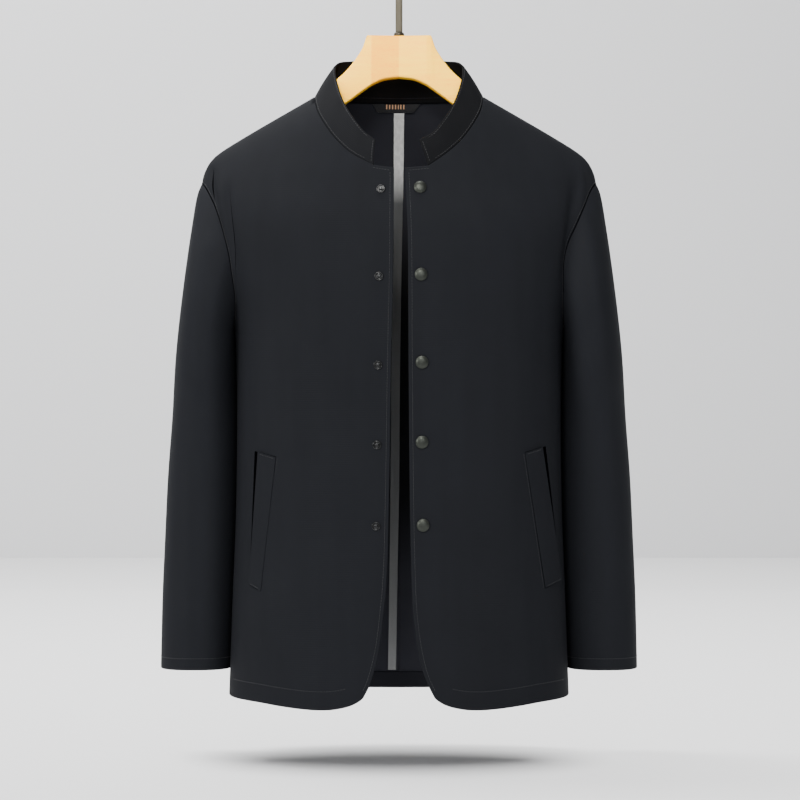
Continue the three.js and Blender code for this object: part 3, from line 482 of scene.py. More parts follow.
@dataclass
class Workshop:
    """Makes Blender objects from arrays.

    Attributes:
        made: All objects that it has made.
    """

    edge_dip: float = 0.36
    made: list[Object] = field(default_factory=list)

    def make(
        self,
        name: str,
        points: Array,
        faces: Sequence[Sequence[int]],
        material: Material,
        cloth: Array | None = None,
        smooth: bool = True,
    ) -> Object:
        """Makes a mesh object that rides on the body.

        Args:
            name: The piece's name.
            points: Vertices in millimetres.
            faces: Vertex numbers of each face.
            material: Its finish.
            cloth: Place of each vertex on the flat cloth, in millimetres.
            smooth: Whether its faces are shaded as one curved surface.

        Returns:
            The object.
        """
        mesh = bpy.data.meshes.new(name)
        corners_of_faces = [tuple(map(int, face)) for face in faces]
        mesh.from_pydata((np.asarray(points, float) * MM).tolist(), [], corners_of_faces)
        if cloth is not None:
            layer = mesh.uv_layers.new(name="cloth")
            corners = np.empty(len(mesh.loops), np.int32)
            mesh.loops.foreach_get("vertex_index", corners)
            layer.data.foreach_set("uv", (np.asarray(cloth)[corners] * MM).ravel())
        mesh.polygons.foreach_set("use_smooth", [smooth] * len(mesh.polygons))
        mesh.materials.append(material)
        mesh.update()
        obj = bpy.data.objects.new(name, mesh)
        bpy.context.scene.collection.objects.link(obj)
        self.made.append(obj)
        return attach(obj, BODY)

    def shell(
        self,
        name: str,
        grid: Grid,
        material: Material,
        top: float,
        bottom: float,
        round_over: float = 1.0,
        lining: Material | None = None,
        flush_sides: bool = False,
    ) -> Object:
        """Makes a sheet with thickness and rounded edges.

        Args:
            name: The piece's name.
            grid: Its surface.
            material: Its finish.
            top: Offset of the outer face along the normals.
            bottom: Offset of the inner face.
            round_over: Width over which the edges round over.
            lining: Finish of the inner face, if it has its own.
            flush_sides: Whether its two long sides butt against a neighbour instead of rounding over.

        Returns:
            The object.
        """
        fine = grid.edged()
        near = np.clip(fine.to_border((0,) if flush_sides else (0, 1)) / round_over, 0, 1)
        dip = (1 - np.sqrt(1 - (1 - near) ** 2)) * (top - bottom) * self.edge_dip
        outer = fine.points + fine.normals * (top - dip)[..., None]
        inner = fine.points + fine.normals * (bottom + dip)[..., None]
        rows, columns = outer.shape[:2]
        count = rows * columns
        index = np.arange(count).reshape(rows, columns)
        upper = quads(index)
        lower = quads(index + count)[:, ::-1]
        loop = np.concatenate([index[0], index[1:, -1], index[-1, -2::-1], index[-2:0:-1, 0]])
        following = np.roll(loop, -1)
        rim = np.stack([loop, loop + count, following + count, following], axis=1)
        points = np.concatenate([outer.reshape(-1, 3), inner.reshape(-1, 3)])
        faces = np.concatenate([upper, lower, rim])
        if signed_volume(points, faces) < 0:
            faces = faces[:, ::-1]
        cloth = np.tile(fine.cloth.reshape(-1, 2), (2, 1))
        obj = self.make(name, points, faces, material, cloth)
        if lining is not None:
            obj.data.materials.append(lining)
            slots = np.zeros(len(faces), np.int32)
            slots[len(upper) : len(upper) + len(lower)] = 1
            obj.data.polygons.foreach_set("material_index", slots)
        if flush_sides:
            outer_sides = np.concatenate([index[:, 0], index[:, -1]])
            sides = np.zeros(len(points), bool)
            sides[outer_sides] = True
            sides[outer_sides + count] = True
            ends = np.empty(len(obj.data.edges) * 2, np.int32)
            obj.data.edges.foreach_get("vertices", ends)
            obj.data.edges.foreach_set("use_edge_sharp", sides[ends].reshape(-1, 2).all(axis=1))
        return obj

    def loft(self, name: str, rings: Array, material: Material) -> Object:
        """Makes a closed body through rings of points, with flat ends.

        Args:
            name: The piece's name.
            rings: Rings by points by 3.
            material: Its finish.

        Returns:
            The object.
        """
        count, around = rings.shape[:2]
        index = np.arange(count * around).reshape(count, around)
        wrapped = np.concatenate([index, index[:, :1]], axis=1)
        faces = [tuple(face) for face in quads(wrapped)]
        faces += [tuple(index[0][::-1]), tuple(index[-1])]
        points = rings.reshape(-1, 3)
        if signed_volume(points, quads(wrapped)) < 0:
            faces = [face[::-1] for face in faces]
        return self.make(name, points, faces, material)


def quads(index: Array) -> Array:
    """The four-cornered faces between neighbouring rows and columns of vertex numbers."""
    return np.stack([index[:-1, :-1], index[:-1, 1:], index[1:, 1:], index[1:, :-1]], axis=-1).reshape(-1, 4)


def signed_volume(points: Array, faces: Array) -> float:
    """Six times the volume inside four-cornered faces; negative where they look inwards."""
    a, b, c, d = (points[faces[:, k]] for k in range(4))
    return float(np.sum(a * np.cross(b, c)) + np.sum(a * np.cross(c, d)))


class Wire:
    """A shader socket that can be used in sums."""

    def __init__(self, tree: bpy.types.NodeTree, socket: bpy.types.NodeSocket) -> None:
        """Wraps an output socket of a node tree."""
        self.tree = tree
        self.socket = socket

    def math(self, operation: str, *others: Wire | float, clamp: bool = False) -> Wire:
        """One Math node on this socket.

        Args:
            operation: Blender's name of the operation.
            others: Its further inputs.
            clamp: Whether the result is held to 0 to 1.

        Returns:
            The result's socket.
        """
        node = self.tree.nodes.new("ShaderNodeMath")
        node.operation = operation
        node.use_clamp = clamp
        for port, value in zip(node.inputs, (self, *others), strict=False):
            if isinstance(value, Wire):
                self.tree.links.new(value.socket, port)
            else:
                port.default_value = value
        return Wire(self.tree, node.outputs[0])

    def __add__(self, other: Wire | float) -> Wire:
        """Sum."""
        return self.math("ADD", other)

    def __radd__(self, other: float) -> Wire:
        """Sum."""
        return self.math("ADD", other)

    def __sub__(self, other: Wire | float) -> Wire:
        """Difference."""
        return self.math("SUBTRACT", other)

    def __rsub__(self, other: float) -> Wire:
        """Difference from a number."""
        return (self * -1.0) + other

    def __mul__(self, other: Wire | float) -> Wire:
        """Product."""
        return self.math("MULTIPLY", other)

    def __rmul__(self, other: float) -> Wire:
        """Product."""
        return self.math("MULTIPLY", other)

    def sine(self) -> Wire:
        """Sine."""
        return self.math("SINE")

    def wave(self) -> Wire:
        """Its sine, moved to run from 0 to 1."""
        return self.sine() * 0.5 + 0.5

    def clamped(self) -> Wire:
        """Held to 0 to 1."""
        return self.math("ADD", 0.0, clamp=True)


class Paint:
    """A material under construction."""

    def __init__(self, name: str, colour: Sequence[float], roughness: float, **constants: float) -> None:
        """Starts a material on the Principled shader.

        Args:
            name: The material's name.
            colour: Base colour, linear.
            roughness: Roughness.
            constants: Further inputs of the shader, with _ for each space.
        """
        self.material = bpy.data.materials.new(name)
        self.material.use_nodes = True
        self.tree = self.material.node_tree
        self.shader = self.tree.nodes["Principled BSDF"]
        self.shader.inputs["Base Color"].default_value = (*colour, 1)
        self.shader.inputs["Roughness"].default_value = roughness
        for key, value in constants.items():
            self.shader.inputs[key.replace("_", " ")].default_value = value

    def node(
        self,
        kind: str,
        settings: dict[str, str],
        sockets: dict[str | int, Wire | float | Sequence[float]],
        output: str | int = 0,
    ) -> Wire:
        """Adds a node.

        Args:
            kind: Its type, without Blender's prefix.
            settings: Its settings, which are set first.
            sockets: Value or link of each input, by name or number.
            output: Which of its outputs to read.

        Returns:
            That output.
        """
        node = self.tree.nodes.new(f"ShaderNode{kind}")
        for key, value in settings.items():
            setattr(node, key, value)
        for key, value in sockets.items():
            if isinstance(value, Wire):
                self.tree.links.new(value.socket, node.inputs[key])
            else:
                node.inputs[key].default_value = value
        return Wire(self.tree, node.outputs[output])

    def where(self, source: str = "Object", stretch: Sequence[float] = (1, 1, 1)) -> Wire:
        """Coordinates to read a pattern at.

        Args:
            source: Output of the Texture Coordinate node.
            stretch: Scale along each axis.

        Returns:
            The vector.
        """
        place = self.node("TexCoord", {}, {}, source)
        return self.node("VectorMath", {"operation": "MULTIPLY"}, {0: place, 1: stretch})

    def axes(self, vector: Wire) -> list[Wire]:
        """The three components of a vector."""
        first = self.node("SeparateXYZ", {}, {0: vector})
        return [Wire(self.tree, output) for output in first.socket.node.outputs]

    def noise(self, where: Wire, scale: float, detail: float = 2.0, roughness: float = 0.5) -> Wire:
        """Noise from 0 to 1 about 0.5.

        Args:
            where: Coordinates.
            scale: Cells per metre.
            detail: Octaves.
            roughness: Weight of the finer octaves.

        Returns:
            Its value.
        """
        sockets = {"Scale": scale, "Detail": detail, "Roughness": roughness, "Vector": where}
        return self.node("TexNoise", {}, sockets, "Fac")

    def between(self, factor: Wire, low: Sequence[float], high: Sequence[float]) -> Wire:
        """A colour that runs from low to high with a factor."""
        sockets = {"Factor": factor, "A": (*low, 1), "B": (*high, 1)}
        return self.node("Mix", {"data_type": "RGBA"}, sockets, "Result")

    def into(self, name: str, wire: Wire) -> Paint:
        """Links a value to the shader's input."""
        self.tree.links.new(wire.socket, self.shader.inputs[name])
        return self

    def bump(self, height: Wire, distance: float, strength: float = 1.0) -> Paint:
        """Adds relief.

        Args:
            height: Relief from 0 to 1.
            distance: Metres that 1 stands for.
            strength: Share of it that shows.

        Returns:
            This material.
        """
        sockets = {"Distance": distance, "Strength": strength, "Height": height}
        return self.into("Normal", self.node("Bump", {}, sockets, "Normal"))


def shade(colour: Sequence[float], factor: float) -> tuple[float, ...]:
    """A colour made lighter or darker."""
    return tuple(min(channel * factor, 1.0) for channel in colour)


@dataclass(frozen=True)
class Cloth:
    """Fine matt cloth with crosswise ribs, with painted shade over its +X side where darker_left is set."""

    name: str
    colour: Colour
    ribs: float = 1.0
    darker_left: float = 0.0
    weft: float = 0.0026
    warp: float = 0.0011
    relief: float = 0.00016

    def material(self) -> Material:
        """Makes the material."""
        paint = Paint(self.name, self.colour, 0.78, Specular_IOR_Level=0.07)
        u, v, _ = paint.axes(paint.where("UV"))
        solid = paint.where("Object")
        drift = paint.noise(solid, 14, 2)
        streaks = paint.noise(paint.where("Object", (60, 60, 5)), 1.0, 3)
        grain = paint.noise(solid, 1100, 2, 0.6)
        patchy = paint.noise(paint.where("Object", (25, 25, 12)), 1.0, 2)
        rib = (v * (TURN / self.weft) + drift * 2.0).wave()
        weft = rib * ((patchy - 0.35) * 2.2).clamped()
        warp = (u * (TURN / self.warp)).wave()
        tone = weft * (0.11 * self.ribs) + warp * 0.05 + grain * 0.36 + drift * 0.22 + streaks * 0.26
        # Painted shade: a negative share darkens the tone on the wearer's left (+X) side.
        if self.darker_left:
            x, _, _ = paint.axes(solid)
            tone = tone + (x * 40.0).clamped() * self.darker_left
        paint.into(
            "Base Color",
            paint.between(tone.clamped(), shade(self.colour, 0.62), shade(self.colour, 1.42)),
        )
        paint.into("Roughness", grain * 0.14 + 0.7)
        paint.bump(weft * (0.5 * self.ribs) + warp * 0.2 + grain * 0.5, self.relief, 0.7)
        return paint.material


@dataclass(frozen=True)
class Lining:
    """Smooth lining, with painted shade half way down, where the fronts lie close over it."""

    colour: Colour
    dark_from: float = 0.27
    dark_to: float = 0.75
    fade: float = 0.1

    def material(self) -> Material:
        """Makes the material."""
        paint = Paint("charcoal_lining", self.colour, 0.7, Specular_IOR_Level=0.1)
        solid = paint.where("Object")
        _, _, z = paint.axes(solid)
        below_neck = ((z * -1.0 - self.dark_from) * (1 / self.fade)).clamped()
        above_hem = ((z + self.dark_to) * (1 / self.fade)).clamped()
        grain = paint.noise(solid, 900, 2, 0.6)
        # Painted shade: the tone drops by 0.75 between below_neck and above_hem.
        tone = below_neck * above_hem * -0.75 + grain * 0.3 + 0.7
        paint.into(
            "Base Color",
            paint.between(tone.clamped(), shade(self.colour, 0.12), shade(self.colour, 1.15)),
        )
        paint.bump(grain, 0.0001, 0.5)
        return paint.material


@dataclass(frozen=True)
class Thread:
    """Twisted thread."""

    name: str
    colour: Colour
    roughness: float = 0.6

    def material(self) -> Material:
        """Makes the material."""
        paint = Paint(self.name, self.colour, self.roughness, Sheen_Weight=0.1)
        twist = paint.noise(paint.where("Object"), 2600, 1)
        paint.into("Base Color", paint.between(twist, shade(self.colour, 0.7), shade(self.colour, 1.35)))
        paint.bump(twist, 0.0001)
        return paint.material


@dataclass(frozen=True)
class SatinTape:
    """Grey satin with fine lengthwise threads, with a painted highlight where it shows at the neck and
    painted light low down.
    """

    colour: Colour = (0.07, 0.073, 0.075)
    worn_colour: Colour = (0.98, 0.99, 0.98)
    worn_from: float = 0.6
    worn_over: float = 0.044
    shaded_to: float = 0.56
    shaded_over: float = 0.16
    thread: float = 0.0006

    def material(self) -> Material:
        """Makes the material."""
        paint = Paint("satin_tape", self.colour, 0.34)
        u, v, _ = paint.axes(paint.where("UV"))
        wrinkle = paint.noise(paint.where("Object", (300, 300, 60)), 1.0, 3)
        thread = (u * (TURN / self.thread)).wave()
        # Painted highlight near the top, where light comes in at the neck; painted light on the lower part,
        # lit through the hem.
        painted_highlight = ((v - self.worn_from) * (1 / self.worn_over)).clamped()
        lower = ((v * -1.0 + self.shaded_to) * (1 / self.shaded_over)).clamped()
        tone = painted_highlight * (wrinkle * 0.5 + 0.45) + lower * 0.105 + (wrinkle + thread) * 0.02
        paint.into("Base Color", paint.between(tone.clamped(), self.colour, self.worn_colour))
        paint.bump(wrinkle + thread * 0.2, 0.0007, 0.8)
        return paint.material


@dataclass(frozen=True)
class LabelSatin:
    """Black woven satin.

    Attributes:
        threads: Distance between its threads, across and along.
    """

    colour: Colour = (0.012, 0.012, 0.014)
    threads: tuple[float, float] = (0.0005, 0.0007)

    def material(self) -> Material:
        """Makes the material."""
        paint = Paint("label_satin", self.colour, 0.42, Sheen_Weight=0.15)
        u, v, _ = paint.axes(paint.where("UV"))
        across, along = self.threads
        thread = ((u * (TURN / across)).sine() * (v * (TURN / along)).sine()) * 0.5 + 0.5
        paint.into("Base Color", paint.between(thread, shade(self.colour, 0.7), shade(self.colour, 1.5)))
        paint.bump(thread, 0.00012)
        return paint.material


@dataclass(frozen=True)
class Metal:
    """Brushed metal with light wear."""

    name: str
    colour: Colour
    roughness: float

    def material(self) -> Material:
        """Makes the material."""
        paint = Paint(self.name, self.colour, self.roughness, Metallic=1.0)
        brushed = paint.noise(paint.where("Object", (900, 900, 60)), 1.0, 3)
        cloudy = paint.noise(paint.where("Object"), 120, 3)
        tone = cloudy * 0.5 + brushed * 0.5
        paint.into("Base Color", paint.between(tone, shade(self.colour, 0.75), shade(self.colour, 1.3)))
        paint.into("Roughness", cloudy * 0.16 + (self.roughness - 0.08))
        paint.bump(brushed, 0.00005, 0.6)
        return paint.material


@dataclass(frozen=True)
class Beech:
    """Pale lacquered beech, with long soft grain, short darker flecks, and painted shade with more flecks
    over the left facet beside the middle.
    """

    dark: Colour = (1.0, 0.38, 0.008)
    light: Colour = (1.0, 0.66, 0.035)
    board: float = 0.0333
    edge: float = 4000.0

    def material(self) -> Material:
        """Makes the material."""
        paint = Paint("beech_wood", self.light, 0.5, Specular_IOR_Level=0.12)
        grain = paint.noise(paint.where("Object", (14, 120, 190)), 1.0, 4, 0.6)
        flecks = paint.noise(paint.where("Object", (230, 700, 1100)), 1.0, 2, 0.5)
        fleck = ((flecks - 0.6) * 9.0).clamped()
        x, _, _ = paint.axes(paint.where("Object"))
        # Over the left facet beside the middle: stronger flecks, and painted shade that darkens the tone by
        # 0.3.
        board = (x * -self.edge).clamped() * ((x + self.board) * self.edge).clamped()
        tone = (grain * 0.9 - fleck * (board * 0.7 + 0.3) - board * 0.3 + 0.15).clamped()
        paint.into("Base Color", paint.between(tone, self.dark, self.light))
        paint.into("Roughness", grain * 0.15 + 0.36)
        paint.bump(grain * 0.4 - fleck * 0.6, 0.00015, 0.7)
        return paint.material


class Finishes:
    """All materials of the part."""

    def __init__(self) -> None:
        """Makes them."""
        self.body = Cloth("charcoal_cloth", (0.0077, 0.0083, 0.0103)).material()
        self.sleeve = Cloth("charcoal_cloth_sleeve", (0.0086, 0.0093, 0.0115)).material()
        # The collar's -0.55 is painted shade on its +X side, the side turned away from the key light.
        self.collar = Cloth("charcoal_cloth_collar", (0.006, 0.0063, 0.0075), 2.6, -0.55).material()
        # A darker copy of the charcoal cloth: painted shade for the inside of the collar.
        self.facing = Cloth("charcoal_collar_facing", (0.0036, 0.0037, 0.0045)).material()
        self.inside = Cloth("charcoal_cloth_inside", (0.012, 0.0125, 0.016)).material()
        self.lining = Lining((0.023, 0.0235, 0.03)).material()
        self.thread = Thread("sewing_thread", (0.0062, 0.0066, 0.008)).material()
        self.dark_thread = Thread("shadow_thread", (0.0012, 0.0012, 0.0016)).material()
        self.satin = SatinTape().material()
        self.label = LabelSatin().material()
        self.copper = Thread("label_thread", (0.75, 0.42, 0.22), 0.45).material()
        self.cap = Metal("snap_gunmetal", (0.036, 0.039, 0.034), 0.42).material()
        self.stud = Metal("snap_nickel", (0.03, 0.0305, 0.031), 0.22).material()
        # Black for painted shade: the pocket slits, the creases and the armhole seams.
        self.slit = Paint("pocket_slit", (0.0006, 0.0006, 0.0008), 0.95, Specular_IOR_Level=0.0).material
        self.wood = Beech().material()
        self.steel = Metal("hook_steel", (0.07, 0.062, 0.046), 0.4).material()


@dataclass
class Panels:
    """The two fronts and the two backs.

    Attributes:
        front_armhole: The front armhole between underarm and shoulder.
        back_armhole: The same behind.
        front_neckline: The neckline from the neck point down to the collar's end.
        back_neckline: The neckline from the middle to the neck point.
        collar_ends: Where the collar ends on each front.
        stud_edge: The edge of the front with the studs as it hangs, as (height, distance from the middle).
        cap_edge: The edge of the front with the caps.
        front_hem: The fronts' hem as (x, height).
        back_hem: The backs' hem.
    """

    shop: Workshop
    finishes: Finishes
    torso: Torso
    neck_point: Spot = (101.7, 720.6)
    shoulder_end: Spot = (236.2, 617.5)
    front_armhole: Table = (
        (194, 458), (193.5, 481), (196, 509), (200, 533), (207, 557), (215.8, 581), (228, 606),
    )
    back_armhole: Table = (
        (196, 456), (197.5, 481), (201.5, 509), (207, 535), (213.5, 560), (220.5, 583), (229.8, 606),
    )
    front_neckline: Table = ((97.3, 700.4), (86.6, 680.5), (72.2, 661.2), (55, 645.6))
    back_neckline: Table = ((0, 720.2), (40, 720.2), (80, 720.4))
    collar_ends: dict[Side, Spot] = field(
        default_factory=lambda: {Side.LEFT: (34.5, 631), Side.RIGHT: (30.1, 632)}
    )
    extension_height: float = 628.5
    stud_edge: Table = (
        (12, 41.5), (25.2, 34.7), (45, 28.3), (68, 23.1), (91, 19.7), (114, 17.3),
        (137, 15), (183, 12.7), (276, 10.8), (415, 8.7), (531, 6.4), (628.5, 5.9),
    )
    cap_edge: Table = (
        (12, 41.5), (25.2, 34.7), (45, 27.2), (68, 22), (91, 18.5), (114, 16.2),
        (137, 15), (230, 12.7), (415, 11), (531, 10.5), (602, 8.2), (628.5, 6.9),
    )
    front_hem: Table = (
        (41.5, 12), (46.2, 8.2), (54.3, 3.8), (61, 1.5), (68.2, -0.2), (82, -2.2),
        (96, -2.5), (110, -1.8), (138, 0.9), (167, 4.3), (204, 6.4),
    )
    back_hem: Table = ((0, 0), (110, 0.8), (165, 4.5), (204, 6.6))
    side_rows: Spot = (0, 0.018, 0.045, 0.085, 0.13, 0.2, 0.27, 0.34, 0.42, 0.5, 0.57, 0.64, 0.71)
    armhole_rows: Spot = (0, 0.09, 0.18, 0.28, 0.39, 0.5, 0.61, 0.71, 0.8, 0.87, 0.93, 0.97, 1)
    row_sag: float = 0.45
    hem_fade: float = 3
    neck_fade: float = 8
    extension_columns: int = 2
    neck_steps: int = 7
    shoulder_columns: Spot = (0, 0.21, 0.43, 0.63, 0.77, 0.86, 0.93, 1)
    back_neck_columns: Spot = (0, 0.19, 0.37, 0.55, 0.72, 0.86, 0.95, 1)

    def __post_init__(self) -> None:
        """Starts with no panels."""
        self.grids: dict[tuple[Face, Side], Grid] = {}
        self.first_armhole_row = (len(self.side_rows) - 1) * FINER_ROWS

    def edge(self, side: Side) -> Table:
        """The front edge of a side."""
        return self.cap_edge if side is Side.LEFT else self.stud_edge

    def row_fractions(self) -> Array:
        """Fractions of a panel's height at its rows."""
        side = refined(self.side_rows, FINER_ROWS)
        armhole = refined(self.armhole_rows, FINER_ROWS)[1:]
        return np.concatenate([side, mix(self.side_rows[-1], 1, armhole)])

    def on_face(self, face: Face, points: Array) -> Array:
        """(angle, height) of points given as (x, height)."""
        return np.stack([self.torso.angle(face, points[:, 0], points[:, 1]), points[:, 1]], axis=1)

    def shoulder(self) -> Array:
        """Points of the shoulder seam past the neck point, as (x, height)."""
        ridge = [
            point for point in self.torso.ridge_line if self.neck_point[0] <= point[0] <= self.shoulder_end[0]
        ]
        x = spline(ridge, refined(self.shoulder_columns, FINER_COLUMNS)[1:])[:, 0]
        return np.stack([x, self.torso.ridge(x)], axis=1)

    def outer_border(self, face: Face, hem: float) -> Array:
        """Side seam up to the underarm, then the armhole, as (angle, height)."""
        side_h = mix(hem, self.torso.underarm, refined(self.side_rows, FINER_ROWS) / self.side_rows[-1])
        side = np.stack([np.full(len(side_h), math.pi / 2), side_h], axis=1)
        between = self.front_armhole if face is Face.FRONT else self.back_armhole
        underarm = (float(self.torso.half(self.torso.underarm)), self.torso.underarm)
        spots = np.array([underarm, *between, self.shoulder_end], float)
        line = spline(
            self.torso.at(face, spots[:, 0], spots[:, 1]),
            refined(self.armhole_rows, FINER_ROWS)[1:],
        )
        h = line[:, 2] + HOOK_TO_HEM
        angle = self.torso.angle(face, np.minimum(line[:, 0], self.torso.half(h)), h)
        return np.concatenate([side, np.stack([angle, h], axis=1)])

    def borders(self, face: Face, side: Side) -> tuple[Array, Array, Array, Array]:
        """Left, right, bottom and top border of a panel, set on the +X side, as (angle, height)."""
        t = self.row_fractions()
        sagged = t - self.row_sag * t * (1 - t)
        neck_at = refined(np.arange(self.neck_steps + 1) / self.neck_steps, FINER_COLUMNS)
        if face is Face.FRONT:
            edge = self.edge(side)
            collar_end = self.collar_ends[side]
            edge_x = Smooth.through(edge)
            h = mix(edge[0][0], self.extension_height, sagged)
            left = self.on_face(face, np.stack([edge_x(h), h], axis=1))
            start = np.array([float(edge_x(self.extension_height)), self.extension_height])
            steps = np.linspace(0, 1, self.extension_columns * FINER_COLUMNS + 1)[:, None]
            extension = mix(start, np.array(collar_end, float), steps)
            neck = spline([collar_end, *self.front_neckline[::-1], self.neck_point], neck_at[1:])
            top = self.on_face(face, np.concatenate([extension, neck, self.shoulder()]))
            corner = float(self.torso.angle(face, edge[0][1], edge[0][0]))
            hem = Smooth.through(self.front_hem)
        else:
            left = np.stack([np.zeros(len(t)), mix(0, self.back_neckline[0][1], sagged)], axis=1)
            neck = spline(
                [*self.back_neckline, self.neck_point],
                refined(self.back_neck_columns, FINER_COLUMNS),
            )
            top = self.on_face(face, np.concatenate([neck, self.shoulder()]))
            top[0, 0] = 0
            corner = 0.0
            hem = Smooth.through(self.back_hem)
        across = (top[:, 0] - top[0, 0]) / (top[-1, 0] - top[0, 0])
        turned = mix(corner, math.pi / 2, across)
        hem_h = hem(self.torso.reach(face, turned, 0.0) * np.sin(turned))
        if face is Face.FRONT:
            hem_h[0] = edge[0][0]
        bottom = np.stack([turned, hem_h], axis=1)
        return left, self.outer_border(face, float(hem_h[-1])), bottom, top

    def panel(self, face: Face, side: Side) -> Grid:
        """One front or back.

        Args:
            face: Front or back.
            side: The wearer's side.

        Returns:
            Its surface.
        """
        left, right, bottom, top = self.borders(face, side)
        t = self.row_fractions()[:, None, None]
        s = ((top[:, 0] - top[0, 0]) / (top[-1, 0] - top[0, 0]))[None, :, None]
        across = mix(left[:, None], right[:, None], s)
        off_bottom = bottom[None] - mix(bottom[:1, None], bottom[-1:, None], s)
        off_top = top[None] - mix(top[:1, None], top[-1:, None], s)
        filled = across + off_bottom * (1 - t) ** self.hem_fade + off_top * t**self.neck_fade
        points = self.torso.point(face, filled[..., 0], filled[..., 1])
        points[..., 0] *= side.value
        points = self.creased(face, side, points)
        normals = facing(points, trunk_middle)
        at_neck = self.neck_column(face)
        square_off(normals[: self.first_armhole_row + 1, -1], 1)
        square_off(normals[-1, at_neck:], 1)
        if face is Face.BACK:
            square_off(normals[:, 0], 0)
        out = run(points[..., :2], 1) + np.abs(points[:, :1, 0])
        return Grid(points, normals, np.stack([out * side.value, points[..., 2]], axis=2))

    def creased(self, face: Face, side: Side, points: Array) -> Array:
        """Points of a panel with its soft creases and ridges.

        Args:
            face: Front or back.
            side: The wearer's side.
            points: The smooth panel, rows by columns by 3.

        Returns:
            The points moved in and out along the body's normals.
        """
        spots = np.stack([points[..., 0], points[..., 2] + HOOK_TO_HEM], axis=-1)
        offset = np.zeros(spots.shape[:-1])
        for fold in FOLDS[face, side]:
            offset += fold.offset(spots)
        smooth = self.torso.normal(face, spots[..., 0], spots[..., 1])
        return points + smooth * offset[..., None]

    def neck_column(self, face: Face) -> int:
        """Number of the column at the neck point."""
        before = self.extension_columns if face is Face.FRONT else 0
        return (before + self.neck_steps) * FINER_COLUMNS

    def make(self) -> None:
        """Makes the two fronts and the two backs."""
        for side in Side:
            for face in Face:
                grid = self.panel(face, side)
                self.grids[face, side] = grid
                name = f"{face.word}_{side.word}"
                body, lining = self.finishes.body, self.finishes.lining
                obj = self.shop.shell(f"{name}_cloth", grid, body, 0.0, -CLOTH, lining=lining)
                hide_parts(name)
                declare(grid)


def trunk_middle(points: Array) -> Array:
    """A point on the middle line of the trunk for each point of a panel, a little lower."""
    return np.stack([0 * points[..., 0], 0 * points[..., 1], points[..., 2] - 40], axis=-1)


